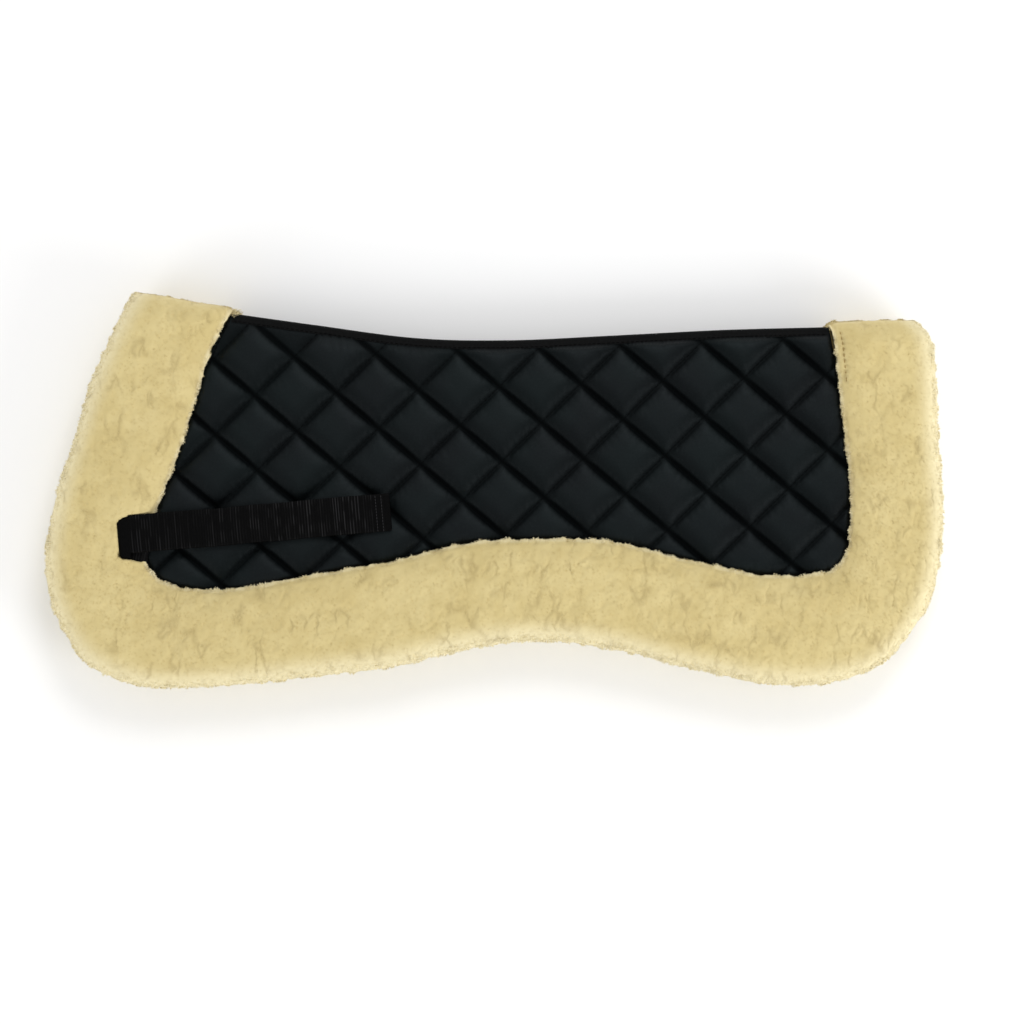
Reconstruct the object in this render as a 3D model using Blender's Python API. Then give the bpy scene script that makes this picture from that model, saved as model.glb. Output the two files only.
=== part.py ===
"""Half pad for a saddle, folded flat along its spine: two mirrored halves, the left on the right.

+X runs from the withers end to the rear end, +Y towards the spine fold and +Z up. The origin is at
the middle of the base of the folded pad. All sizes are in metres.

Plan points are pattern points (x, y). Heights in one half are measured outwards from the middle
plane, where the two halves meet, so both halves share one set of sizes.
"""

import math

import bpy
import bmesh
from mathutils import Vector
from mathutils.geometry import delaunay_2d_cdt

# Main sizes: the folded pad from the withers end to the rear, and from the spine fold to the bottom
PAD_LENGTH = 0.619
PAD_DEPTH = 0.274

# Border pattern of one half: points on the outer edge, each with its point on the seam,
# from the spine at the withers round the front, the bottom and the rear, and back to the spine.
# Pattern points are shares of the pad's length and depth.
BORDER_PATTERN = (
    ((-0.4016, 0.5026), (-0.2919, 0.4471)),
    ((-0.4317, 0.3653), (-0.3137, 0.3453)),
    ((-0.4651, 0.1515), (-0.3354, 0.1792)),
    ((-0.4929, -0.0796), (-0.3716, -0.0445)),
    ((-0.4990, -0.1905), (-0.3842, -0.1401)),
    ((-0.4884, -0.3062), (-0.3821, -0.1905)),
    ((-0.4562, -0.4266), (-0.3704, -0.2204)),
    ((-0.3982, -0.4909), (-0.3449, -0.2431)),
    ((-0.3147, -0.4971), (-0.2969, -0.2482)),
    ((-0.2145, -0.4745), (-0.2145, -0.2168)),
    ((-0.1011, -0.4398), (-0.1011, -0.1679)),
    ((-0.0310, -0.4004), (-0.0342, -0.1325)),
    ((0.0470, -0.3810), (0.0470, -0.1226)),
    ((0.1360, -0.4015), (0.1326, -0.1274)),
    ((0.2216, -0.4518), (0.2216, -0.1741)),
    ((0.2974, -0.4872), (0.2885, -0.2080)),
    ((0.3641, -0.4883), (0.3486, -0.2106)),
    ((0.4221, -0.4533), (0.3798, -0.1942)),
    ((0.4611, -0.3763), (0.3926, -0.1500)),
    ((0.4889, -0.2606), (0.3956, -0.0796)),
    ((0.5008, -0.1000), (0.3964, 0.0208)),
    ((0.4982, 0.1062), (0.3910, 0.1241)),
    ((0.4945, 0.2650), (0.3829, 0.2650)),
    ((0.4877, 0.3905), (0.3777, 0.3781)),
    ((0.4733, 0.4296), (0.3750, 0.4124)),
)

# Spine pattern: the curved fold line between the two ends of the border, front to rear
SPINE_PATTERN = (
    (-0.2919, 0.4471),
    (-0.1979, 0.4175),
    (-0.0832, 0.3843),
    (0.0165, 0.3792),
    (0.1315, 0.3909),
    (0.2596, 0.4055),
    (0.3750, 0.4124),
)

# Fits between pieces
GAP = 0.0003
HALF_GAP = 0.00015
HINGE_CLEARANCE = 0.0005

# Build-up of the quilted panel
LINING_THICKNESS = 0.0048
COVER_THICKNESS = 0.001
CHANNEL_HEIGHT = 0.012
PUFF_RISE = 0.005
PUFF_FADE = 0.010
COVER_RIM_BAND = 0.003
FOLD_HEIGHT = 0.0079

# Diamond quilting: side of a diamond, slopes of its two stitch directions, and one crossing
QUILT_SIDE = 0.0381
QUILT_FALL_ANGLE = math.radians(40.4)
QUILT_RISE_ANGLE = math.radians(44.5)
QUILT_CROSSING = (-0.2651, 0.2383)

# Rolled fleece border
BORDER_HEIGHT = 0.024
BORDER_FLAT_CUT = 0.0005
BORDER_SEAM_HEIGHT = 0.0125
PILE_THICKNESS = 0.0085
BACKING_THICKNESS = 0.006
CORE_EDGE = 0.010
CORE_BEVEL = 0.004
CORE_SLOPE = 0.022
CORE_MOUTH_HEIGHT = 0.0105
FOLD_ROUND = 0.020
FOLD_SHARE = 0.4
RING_STEP = 0.027

# Section of the roll. Sides: distance in from the outer edge or the seam, with a share of the
# border's height. Crown and foot: shares of the roll's width.
ROLL_FOOT = 0.15
ROLL_OUTER_SIDE = ((0.003, 0.15), (0, 0.46), (0.0035, 0.77), (0.012, 0.95))
ROLL_CROWN = (0.28, 0.42, 0.56)
ROLL_INNER_SIDE = ((0.018, 0.95), (0.006, 0.76))

# Spine tape
TAPE_THICKNESS = 0.001
TAPE_BAND = 0.009
SPINE_STEP = 0.020

# Girth strap: webbing folded back on itself at the pivot, with a free flap. The closure's spans
# are shares of the flap's length.
STRAP_PIVOT = (-0.4108, -0.1128)
STRAP_TILT = math.radians(4.93)
STRAP_WIDTH = 0.026
WEBBING_THICKNESS = 0.0014
FLAP_LENGTH = 0.185
FOLD_SPACE = 0.0013
BASE_LIFT = 0.0007
TAIL_LENGTH = 0.005
TAIL_HEIGHT = 0.0144
HEM_LENGTH = 0.012
CLOSURE_THICKNESS = 0.0012
CLOSURE_WIDTH = 0.022
LOOP_SPAN = (0.243, 0.568)
HOOK_SPAN = (0.676, 0.919)
POCKET_CLEARANCE = 0.0008
POCKET_END = 0.002
POCKET_RUN_OUT = 0.010

# Threads
SEAM_THREAD_RADIUS = 0.0004
STITCH_THICKNESS = 0.0006
STITCH_MARGIN = 0.003
ANCHOR_START = 0.006
ANCHOR_LENGTH = 0.005
ANCHOR_TURNS = 8
HEM_STITCH_INSET = 0.005
HEM_STITCH_LENGTH = 0.0014
HEM_STITCH_TURNS = 12

# Heights worked out from the sizes above
LINING_TOP = HALF_GAP + LINING_THICKNESS
PANEL_BASE = LINING_TOP + GAP
PANEL_CROWN = CHANNEL_HEIGHT + PUFF_RISE
MIDDLE = BORDER_HEIGHT - BORDER_FLAT_CUT
BASE_BOTTOM = PANEL_CROWN + BASE_LIFT
BASE_CENTRE = BASE_BOTTOM + WEBBING_THICKNESS / 2
PIVOT_HEIGHT = BASE_CENTRE + WEBBING_THICKNESS + FOLD_SPACE
HOOK_END = HOOK_SPAN[1] * FLAP_LENGTH
FLAP_END_HEIGHT = PANEL_CROWN + 2 * GAP + CLOSURE_THICKNESS + WEBBING_THICKNESS / 2
FLAP_SLOPE = math.atan2(PIVOT_HEIGHT - FLAP_END_HEIGHT, HOOK_END)

LEFT, RIGHT = 1, -1


# Curves and outlines in the plan


def spline_point(points, at):
    """A point on the smooth curve through the points, where at counts them from 0."""
    last = len(points) - 1
    i = min(int(at), last - 1)
    p1, p2 = points[i], points[i + 1]
    p0 = points[i - 1] if i > 0 else 2 * p1 - p2
    p3 = points[i + 2] if i + 2 <= last else 2 * p2 - p1
    k0, k1, k2 = ((b - a).length ** 0.5 for a, b in ((p0, p1), (p1, p2), (p2, p3)))
    m1 = (p1 - p0) / k0 - (p2 - p0) / (k0 + k1) + (p2 - p1) / k1
    m2 = (p2 - p1) / k1 - (p3 - p1) / (k1 + k2) + (p3 - p2) / k2
    m1, m2 = m1 * k1, m2 * k1
    t = at - i
    a = 2 * t**3 - 3 * t**2 + 1
    b = t**3 - 2 * t**2 + t
    return a * p1 + b * m1 + (1 - a) * p2 + (t**3 - t**2) * m2


def sized(point):
    """A pattern point as a plan point."""
    return Vector((point[0] * PAD_LENGTH, point[1] * PAD_DEPTH))


def places_along(points, wanted, fine=24):
    """The curve's parameters at the wanted distances along it, and its whole length."""
    steps = [i / fine for i in range((len(points) - 1) * fine + 1)]
    run, length = [0.0], 0.0
    previous = spline_point(points, 0)
    for step in steps[1:]:
        here = spline_point(points, step)
        length += (here - previous).length
        run.append(length)
        previous = here
    found = []
    for distance in wanted(length):
        i = min(max(1, sum(r < distance for r in run)), len(run) - 1)
        part = (distance - run[i - 1]) / (run[i] - run[i - 1])
        found.append(steps[i - 1] + part * (steps[i] - steps[i - 1]))
    return found, length


def ring_distances(length):
    """Where the border's rings lie along its outer edge: close together at both folded ends."""
    near = [FOLD_ROUND * share for share in (0, 0.1, 0.3, 0.6, 1)]
    count = max(8, round((length - 2 * FOLD_ROUND) / RING_STEP))
    step = (length - 2 * FOLD_ROUND) / count
    middle = [FOLD_ROUND + step * i for i in range(1, count)]
    return near + middle + [length - d for d in reversed(near)]


def border_rings():
    """Each ring of the border: its outer point, its seam point and its share of the full height."""
    outer = [sized(pair[0]) for pair in BORDER_PATTERN]
    seam = [sized(pair[1]) for pair in BORDER_PATTERN]
    places, length = places_along(outer, ring_distances)
    distances = ring_distances(length)
    rings = []
    for at, distance in zip(places, distances):
        from_end = min(distance, length - distance)
        rest = max(0.0, 1 - from_end / FOLD_ROUND)
        share = FOLD_SHARE + (1 - FOLD_SHARE) * math.sqrt(1 - rest * rest)
        rings.append([spline_point(outer, at), spline_point(seam, at), share])
    straighten_seam(rings, 0, 4)
    straighten_seam(rings, len(rings) - 1, len(rings) - 5)
    return rings


def straighten_seam(rings, end, inner):
    """Puts the seam points near a folded end on one straight line, as the panel's corner has it."""
    a, b = rings[end][1], rings[inner][1]
    step = 1 if inner > end else -1
    for i in range(end + step, inner, step):
        part = (rings[i][0] - rings[end][0]).length / (rings[inner][0] - rings[end][0]).length
        rings[i][1] = a.lerp(b, part)


def spine_points():
    """Points along the spine fold, front to rear."""

    def even(length):
        count = max(6, round(length / SPINE_STEP))
        return [length * i / count for i in range(count + 1)]

    line = [sized(point) for point in SPINE_PATTERN]
    places, _ = places_along(line, even)
    return [spline_point(line, at) for at in places]


RINGS = border_rings()
SPINE = spine_points()
SEAM = [ring[1] for ring in RINGS]
SEAM = [SEAM[0], *SEAM[4:-4], SEAM[-1]]
OUTLINE = SEAM + SPINE[-2:0:-1]
SEAM_EDGES = len(SEAM) - 1
CENTRE_X = (min(r[0].x for r in RINGS) + max(r[0].x for r in RINGS)) / 2
CENTRE_Y = (min(r[0].y for r in RINGS) + max(r[0].y for r in RINGS)) / 2


def inset(seam_distance, spine_distance):
    """The panel's outline moved inwards, by one distance at the seam and another at the spine."""
    count = len(OUTLINE)
    moved = []
    for i, point in enumerate(OUTLINE):
        before, after = OUTLINE[i - 1], OUTLINE[(i + 1) % count]
        n1 = inward(before, point)
        n2 = inward(point, after)
        d1 = seam_distance if 0 < i <= SEAM_EDGES else spine_distance
        d2 = seam_distance if i < SEAM_EDGES else spine_distance
        cross = n1.x * n2.y - n1.y * n2.x
        if abs(cross) < 0.02:
            moved.append(point + (n1 + n2).normalized() * (d1 + d2) / 2)
        else:
            shift = Vector((d1 * n2.y - d2 * n1.y, n1.x * d2 - n2.x * d1)) / cross
            moved.append(point + shift)
    return moved


def inward(a, b):
    """The unit normal on the left of the line from a to b."""
    d = (b - a).normalized()
    return Vector((-d.y, d.x))


def clearance(point, loop):
    """How far a plan point lies inside a loop, negative outside it."""
    nearest, inside = math.inf, False
    for i, b in enumerate(loop):
        a = loop[i - 1]
        d = b - a
        t = min(1.0, max(0.0, (point - a).dot(d) / d.length_squared))
        nearest = min(nearest, (point - a - t * d).length)
        if (a.y > point.y) != (b.y > point.y):
            if point.x < a.x + (point.y - a.y) / (b.y - a.y) * (b.x - a.x):
                inside = not inside
    return nearest if inside else -nearest


# Objects and materials


def clear_scene():
    for item in list(bpy.data.objects):
        bpy.data.objects.remove(item, do_unlink=True)


def make_material(name, colour, roughness, metallic=0.0):
    """A Principled BSDF material of one colour."""
    made = bpy.data.materials.new(name)
    made.use_nodes = True
    shader = made.node_tree.nodes["Principled BSDF"]
    shader.inputs["Base Color"].default_value = (*colour, 1)
    shader.inputs["Roughness"].default_value = roughness
    shader.inputs["Metallic"].default_value = metallic
    made.diffuse_color = (*colour, 1)
    return made


def place(x, y, height, side):
    """A point of one half, given in the pattern and by its height, as a point of the whole pad."""
    return Vector((x - CENTRE_X, y - CENTRE_Y, MIDDLE + side * height))


def make_pivot(name, at, parent=None):
    """An empty on a joint's axis, which the pieces that turn about it hang on."""
    pivot = bpy.data.objects.new(name, None)
    pivot.empty_display_size = 0.02
    pivot.location = at - (parent.matrix_world.translation if parent else Vector())
    pivot.parent = parent
    bpy.context.collection.objects.link(pivot)
    bpy.context.view_layer.update()
    return pivot


def make_object(name, points, faces, material, pivot=None, smooth_angle=0.6):
    """A closed mesh object from points of the whole pad, with its origin on its pivot."""
    origin = pivot.matrix_world.translation if pivot else Vector()
    mesh = bpy.data.meshes.new(name)
    mesh.from_pydata([p - origin for p in points], [], faces)
    work = bmesh.new()
    work.from_mesh(mesh)
    bmesh.ops.recalc_face_normals(work, faces=work.faces)
    work.to_mesh(mesh)
    work.free()
    mesh.shade_smooth()
    mesh.set_sharp_from_angle(angle=smooth_angle)
    mesh.materials.append(material)
    made = bpy.data.objects.new(name, mesh)
    made.parent = pivot
    bpy.context.collection.objects.link(made)
    return made


def loft(rings):
    """Points and faces of a solid through rings of equal count, closed with flat ends."""
    count = len(rings[0])
    points = [p for ring in rings for p in ring]
    faces = [list(range(count)), list(range(len(points) - count, len(points)))]
    for r in range(len(rings) - 1):
        for i in range(count):
            j = (i + 1) % count
            low, high = r * count, (r + 1) * count
            faces.append([low + i, low + j, high + j, high + i])
    return points, faces


def band(low, high, count):
    """Faces between two closed loops of the same count, given by their first point numbers."""
    return [[low + i, low + (i + 1) % count, high + (i + 1) % count, high + i] for i in range(count)]


# Quilted panel


def quilt_crossing(i, j):
    """Where two stitch lines cross: i counts along the falling lines and j along the rising ones."""
    fall = Vector((math.cos(QUILT_FALL_ANGLE), -math.sin(QUILT_FALL_ANGLE))) * QUILT_SIDE
    rise = Vector((math.cos(QUILT_RISE_ANGLE), math.sin(QUILT_RISE_ANGLE))) * QUILT_SIDE
    return sized(QUILT_CROSSING) + i * fall + j * rise


def quilt_span():
    """How many diamonds may lie to each side of the known crossing."""
    reach = max((p - sized(QUILT_CROSSING)).length for p in OUTLINE)
    return int(reach / QUILT_SIDE * 1.5) + 2


def puff_shape(u, v):
    """The crown of one diamond, from 0 at its stitch lines to 1 in its middle."""
    return (1 - abs(2 * u - 1) ** 4) * (1 - abs(2 * v - 1) ** 4)


def quilt_surface(loop, shares, margin=0.0025):
    """A triangulated diamond quilt inside a loop: its plan points, their rises and its triangles."""
    points, rises, edges = list(loop), [0.0] * len(loop), []
    span = quilt_span()
    crossings = {}
    for i in range(-span, span + 1):
        for j in range(-span, span + 1):
            point = quilt_crossing(i, j)
            if clearance(point, loop) > margin:
                crossings[i, j] = len(points)
                points.append(point)
                rises.append(0.0)
    for (i, j), index in list(crossings.items()):
        for step_i, step_j in ((1, 0), (0, 1), (-1, 0), (0, -1)):
            other = crossings.get((i + step_i, j + step_j))
            if other is not None:
                if other > index:
                    edges.append((index, other))
                continue
            end = line_end(points[index], quilt_crossing(i + step_i, j + step_j), loop, margin)
            edges.append((index, len(points)))
            points.append(end)
            rises.append(0.0)
    for i in range(-span, span + 1):
        for j in range(-span, span + 1):
            corner = quilt_crossing(i, j)
            along_i = quilt_crossing(i + 1, j) - corner
            along_j = quilt_crossing(i, j + 1) - corner
            for u in shares:
                for v in shares:
                    point = corner + u * along_i + v * along_j
                    room = clearance(point, loop)
                    if room > margin:
                        fade = min(1.0, room / PUFF_FADE)
                        points.append(point)
                        rises.append(puff_shape(u, v) * fade * fade * (3 - 2 * fade))
    face = list(range(len(loop)))
    made = delaunay_2d_cdt(points, edges, [face], 1, 1e-6)
    order = [origin[0] for origin in made[3]]
    triangles = [[order[k] for k in triangle] for triangle in made[2]]
    return points, rises, triangles


def line_end(start, end, loop, margin):
    """The point where a stitch line from start towards end stops short of the loop."""
    low, high = 0.0, 1.0
    for _ in range(20):
        middle = (low + high) / 2
        if clearance(start.lerp(end, middle), loop) > margin:
            low = middle
        else:
            high = middle
    return start.lerp(end, low)


def edge_heights(drop=0.0):
    """The panel's height at each outline point: low at the spine fold, channel height at the seam."""
    spine = [FOLD_HEIGHT - drop] * (len(OUTLINE) - SEAM_EDGES - 1)
    seam = [FOLD_HEIGHT - drop] + [CHANNEL_HEIGHT - drop] * (SEAM_EDGES - 1) + [FOLD_HEIGHT - drop]
    return seam + spine


def panel_loops():
    """The cover's outer edge and the loop where its quilting begins."""
    edge = inset(GAP, TAPE_THICKNESS + GAP)
    quilt = inset(GAP + COVER_RIM_BAND, TAPE_BAND + 2 * GAP)
    return edge, quilt


def make_cover(side, material, pivot, fine_quilt, coarse_quilt):
    """The quilted cotton cover: puffed diamonds, a sewn-down rim and a side wall to the lining."""
    edge, quilt = panel_loops()
    inner = inset(GAP + COVER_THICKNESS, TAPE_THICKNESS + GAP + COVER_THICKNESS)
    count = len(edge)
    points = [place(p.x, p.y, PANEL_BASE, side) for p in edge]
    points += [place(p.x, p.y, h, side) for p, h in zip(edge, edge_heights())]
    top = len(points)
    points += [
        place(p.x, p.y, CHANNEL_HEIGHT + PUFF_RISE * rise, side)
        for p, rise in zip(fine_quilt[0], fine_quilt[1])
    ]
    rim = len(points)
    points += [place(p.x, p.y, PANEL_BASE, side) for p in inner]
    points += [place(p.x, p.y, h, side) for p, h in zip(inner, edge_heights(COVER_THICKNESS))]
    under = len(points)
    points += [place(p.x, p.y, h, side) for p, h in zip(coarse_quilt[0], under_heights(coarse_quilt))]
    faces = band(0, count, count) + band(count, top, count)
    faces += [[top + k for k in triangle] for triangle in fine_quilt[2]]
    faces += band(0, rim, count) + band(rim, rim + count, count) + band(rim + count, under, count)
    faces += [[under + k for k in triangle] for triangle in coarse_quilt[2]]
    return make_object(side_name(side, "quilted_cover"), points, faces, material, pivot)


def under_heights(coarse_quilt):
    """Heights of the cover's inner face, which follows the diamonds with flat-sided hollows."""
    base = CHANNEL_HEIGHT - COVER_THICKNESS
    rise = PUFF_RISE - COVER_THICKNESS / 2
    return [base + rise * r for r in coarse_quilt[1]]


def make_wadding(side, material, pivot, coarse_quilt):
    """The wadding that fills the cover's diamonds, resting on the lining."""
    fit = GAP + COVER_THICKNESS + GAP
    edge = inset(fit, TAPE_THICKNESS + fit)
    count = len(edge)
    points = [place(p.x, p.y, PANEL_BASE, side) for p in edge]
    heights = edge_heights(COVER_THICKNESS + GAP)
    points += [place(p.x, p.y, h, side) for p, h in zip(edge, heights)]
    points += [
        place(p.x, p.y, h - GAP, side) for p, h in zip(coarse_quilt[0], under_heights(coarse_quilt))
    ]
    faces = [list(range(count))] + band(0, count, count) + band(count, 2 * count, count)
    faces += [[2 * count + k for k in triangle] for triangle in coarse_quilt[2]]
    return make_object(side_name(side, "wadding"), points, faces, material, pivot)


def make_lining(side, material, pivot):
    """The flat fleece lining on the horse's side, against the other half when folded."""
    edge = inset(GAP, TAPE_THICKNESS + GAP)
    low = [place(p.x, p.y, HALF_GAP, side) for p in edge]
    high = [place(p.x, p.y, LINING_TOP, side) for p in edge]
    return make_object(side_name(side, "fleece_lining"), *loft([low, high]), material, pivot)


# Rolled border


def across(ring, distance, height, side):
    """A point of a border ring, by its distance from the outer edge and its height."""
    outer, seam, share = ring
    point = outer + (seam - outer).normalized() * distance
    return place(point.x, point.y, max(HALF_GAP, height * share), side)


def cavity_profile(width, fit):
    """The hollow that the border's core fills, open at the seam, made smaller all round by fit."""
    low = BACKING_THICKNESS
    high = BORDER_HEIGHT - PILE_THICKNESS
    edge = CORE_EDGE + fit
    return [
        (width - fit, CORE_MOUTH_HEIGHT, -fit),
        (width - CORE_SLOPE, high, -fit),
        (edge + CORE_BEVEL, high, -fit),
        (edge, (low + high) / 2, 0),
        (edge + CORE_BEVEL, low, fit),
        (width - fit, low, fit),
    ]


def border_profile(width, side):
    """The roll's outer section from the middle plane round its edge and crown to the seam."""
    flat = BORDER_HEIGHT - BORDER_FLAT_CUT
    crown = BORDER_HEIGHT if side == LEFT else flat
    profile = [(width * ROLL_FOOT, 0)]
    profile += [(t, BORDER_HEIGHT * share) for t, share in ROLL_OUTER_SIDE]
    profile += [(width * part, h) for part, h in zip(ROLL_CROWN, (flat, crown, flat))]
    profile += [(width - t, BORDER_HEIGHT * share) for t, share in ROLL_INNER_SIDE]
    profile.append((width, BORDER_SEAM_HEIGHT))
    return profile


def make_border(side, material, pivot, cutter):
    """The rolled fleece border: a crowned roll, open towards the panel for its core."""
    rings = []
    for ring in RINGS:
        width = (ring[1] - ring[0]).length
        section = border_profile(width, side)
        section += [(t, h) for t, h, _ in cavity_profile(width, 0)]
        section.append((width, 0))
        rings.append([across(ring, t, h, side) for t, h in section])
    made = make_object(side_name(side, "fleece_border"), *loft(rings), material, pivot)
    cut = made.modifiers.new("strap_pocket", "BOOLEAN")
    cut.operation = "DIFFERENCE"
    cut.object = cutter
    return made


def make_border_core(side, material, pivot):
    """The wadding strip that fills the rolled border."""
    rings = []
    for ring in RINGS:
        width = (ring[1] - ring[0]).length
        section = []
        for t, h, fit in cavity_profile(width, GAP):
            section.append(across(ring, t, h + 1.2 * fit / ring[2], side))
        rings.append(section)
    return make_object(side_name(side, "border_core"), *loft(rings), material, pivot)


# Spine tape and seam thread


def along_spine(distance, height, index, side):
    """A point by its distance in from the spine fold, at one of the spine's points."""
    a = SPINE[max(0, index - 1)]
    b = SPINE[min(len(SPINE) - 1, index + 1)]
    end_shift = {0: 2 * GAP, len(SPINE) - 1: -2 * GAP}.get(index, 0)
    direction = (b - a).normalized()
    point = SPINE[index] + direction * end_shift + inward(b, a) * distance
    return place(point.x, point.y, height, side)


def make_spine_tape(side, material, pivot):
    """The binding tape over the panel's edge at the spine: a wall at the fold and a sloping band."""
    shoulder = FOLD_HEIGHT + GAP
    end = CHANNEL_HEIGHT + GAP
    section = [
        (0, HALF_GAP),
        (0, shoulder - TAPE_THICKNESS / 2),
        (TAPE_THICKNESS / 2, shoulder + TAPE_THICKNESS / 2),
        (TAPE_BAND, end + TAPE_THICKNESS),
        (TAPE_BAND, end),
        (TAPE_THICKNESS, shoulder),
        (TAPE_THICKNESS, HALF_GAP),
    ]
    rings = [[along_spine(d, h, i, side) for d, h in section] for i in range(len(SPINE))]
    return make_object(side_name(side, "spine_tape"), *loft(rings), material, pivot)


def make_seam_thread(side, material, pivot):
    """The thread that sews the cover to the border, lying on the cover's rim."""
    line = inset(GAP + COVER_RIM_BAND / 2, TAPE_THICKNESS + GAP)[1:SEAM_EDGES]
    height = CHANNEL_HEIGHT + GAP + SEAM_THREAD_RADIUS
    r = SEAM_THREAD_RADIUS
    rings = []
    for i, point in enumerate(line):
        a, b = line[max(0, i - 1)], line[min(len(line) - 1, i + 1)]
        n = inward(a, b)
        section = ((-r, 0), (0, r), (r, 0), (0, -r))
        rings.append([place(point.x + n.x * d, point.y + n.y * d, height + h, side) for d, h in section])
    return make_object(side_name(side, "seam_thread"), *loft(rings), material, pivot)


# Girth strap


def strap_place(along, over, height, side):
    """A point by its distance along the strap from the pivot, its place across it and its height."""
    direction = Vector((math.cos(STRAP_TILT), math.sin(STRAP_TILT)))
    point = sized(STRAP_PIVOT) + direction * along + Vector((-direction.y, direction.x)) * over
    return place(point.x, point.y, height, side)


def flap_point(a, b):
    """A point of the sloping flap, along it and out from its middle, as distance and height."""
    along = a * math.cos(FLAP_SLOPE) + b * math.sin(FLAP_SLOPE)
    height = PIVOT_HEIGHT - a * math.sin(FLAP_SLOPE) + b * math.cos(FLAP_SLOPE)
    return along, height


def strap_prism(profile, width, side):
    """Points and faces of a piece whose side view is the profile, as wide as given."""
    edges = (-width / 2, width / 2)
    return loft([[strap_place(s, over, h, side) for s, h in profile] for over in edges])


def seam_distance():
    """How far from the pivot the strap's middle line meets the seam."""
    start = sized(STRAP_PIVOT)
    direction = Vector((math.cos(STRAP_TILT), math.sin(STRAP_TILT)))
    best = math.inf
    for a, b in zip(SEAM, SEAM[1:]):
        d = b - a
        cross = direction.x * d.y - direction.y * d.x
        if abs(cross) > 1e-9:
            along = ((a.x - start.x) * d.y - (a.y - start.y) * d.x) / cross
            part = ((a.x - start.x) * direction.y - (a.y - start.y) * direction.x) / cross
            if 0 <= part <= 1 and along > 0:
                best = min(best, along)
    return best


def base_line():
    """The side view of the strap's base: from the seam up onto the border and round its fold."""
    end = seam_distance() + GAP
    radius = PIVOT_HEIGHT - BASE_CENTRE
    line = [(end, TAIL_HEIGHT), (end - TAIL_LENGTH, BASE_CENTRE), (0, BASE_CENTRE)]
    for degrees in (250, 230, 210, 190):
        turn = math.radians(degrees)
        line.append((radius * math.cos(turn), PIVOT_HEIGHT + radius * math.sin(turn)))
    return [Vector(p) for p in line]


def offset_line(line, distance):
    """A side view line moved to its left by a distance."""
    moved = []
    for i, point in enumerate(line):
        a, b = line[max(0, i - 1)], line[min(len(line) - 1, i + 1)]
        n1 = inward(a, point) if i > 0 else inward(point, b)
        n2 = inward(point, b) if i < len(line) - 1 else n1
        moved.append(point + (n1 + n2) * distance / (1 + n1.dot(n2)))
    return moved


def make_strap_base(side, material, pivot):
    """The strap's sewn part: from the seam across the border, and the lower half of its fold."""
    line = base_line()
    half = WEBBING_THICKNESS / 2
    profile = offset_line(line, half) + offset_line(line, -half)[::-1]
    faces = strap_prism(profile, STRAP_WIDTH, side)
    return make_object(side_name(side, "strap_base"), *faces, material, pivot)


def make_pocket_cutter(side):
    """The space that the strap presses into the fleece, cut out of the border."""
    under = offset_line(base_line()[:3], WEBBING_THICKNESS / 2 + GAP)
    floor = [(under[0].x + POCKET_RUN_OUT, under[0].y), *under]
    far = -(PIVOT_HEIGHT - BASE_CENTRE) - WEBBING_THICKNESS / 2 - POCKET_END
    above = BORDER_HEIGHT * 1.3
    floor += [(far, under[-1].y), (far, above), (floor[0][0], above)]
    width = STRAP_WIDTH + 2 * POCKET_CLEARANCE
    cutter = make_object(side_name(side, "pocket_cutter"), *strap_prism(floor, width, side), FLEECE)
    cutter.hide_render = True
    cutter.display_type = "WIRE"
    return cutter


def make_strap_flap(side, material, pivot):
    """The strap's free part: round-nosed at the pivot, hemmed at its end."""
    half = WEBBING_THICKNESS / 2
    turns = [math.radians(degrees) for degrees in (90, 135, 180, 225, 270)]
    nose = [(half * math.cos(turn), half * math.sin(turn)) for turn in turns]
    hem = FLAP_LENGTH - HEM_LENGTH
    lower = half + WEBBING_THICKNESS
    profile = nose + [
        (hem, -half),
        (hem, -lower),
        (FLAP_LENGTH - half, -lower),
        (FLAP_LENGTH, -half),
        (FLAP_LENGTH - half, half),
    ]
    profile = [flap_point(a, b) for a, b in profile]
    faces = strap_prism(profile, STRAP_WIDTH, side)
    return make_object(side_name(side, "strap_flap"), *faces, material, pivot)


def make_closure(side, name, span, material, pivot):
    """A strip of hook or loop tape sewn under the flap."""
    start, end = (share * FLAP_LENGTH for share in span)
    top = -(WEBBING_THICKNESS / 2 + GAP)
    low = top - CLOSURE_THICKNESS
    corners = ((start, top), (start, low), (end, low), (end, top))
    profile = [flap_point(a, b) for a, b in corners]
    faces = strap_prism(profile, CLOSURE_WIDTH, side)
    return make_object(side_name(side, name), *faces, material, pivot)


def zigzag(start, length, turns, width):
    """The outline in the plan of one thread laid in a zigzag across the strap, in strap distances."""
    low, high = start, start + length
    reach = width / 2 - STITCH_MARGIN
    line = []
    for i in range(turns + 1):
        over = -reach + 2 * reach * i / turns
        line.append(Vector((low if i % 2 == 0 else high, over)))
    half = STITCH_THICKNESS / 2
    return offset_line(line, half) + offset_line(line, -half)[::-1]


def make_anchor_stitch(side, material, pivot):
    """The bar of zigzag thread that ties the strap's base down, hidden under the flap."""
    plan = zigzag(ANCHOR_START, ANCHOR_LENGTH, ANCHOR_TURNS, STRAP_WIDTH)
    low = BASE_CENTRE + WEBBING_THICKNESS / 2 + GAP
    rings = [[strap_place(p.x, p.y, h, side) for p in plan] for h in (low, low + STITCH_THICKNESS)]
    return make_object(side_name(side, "anchor_stitch"), *loft(rings), material, pivot)


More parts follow.
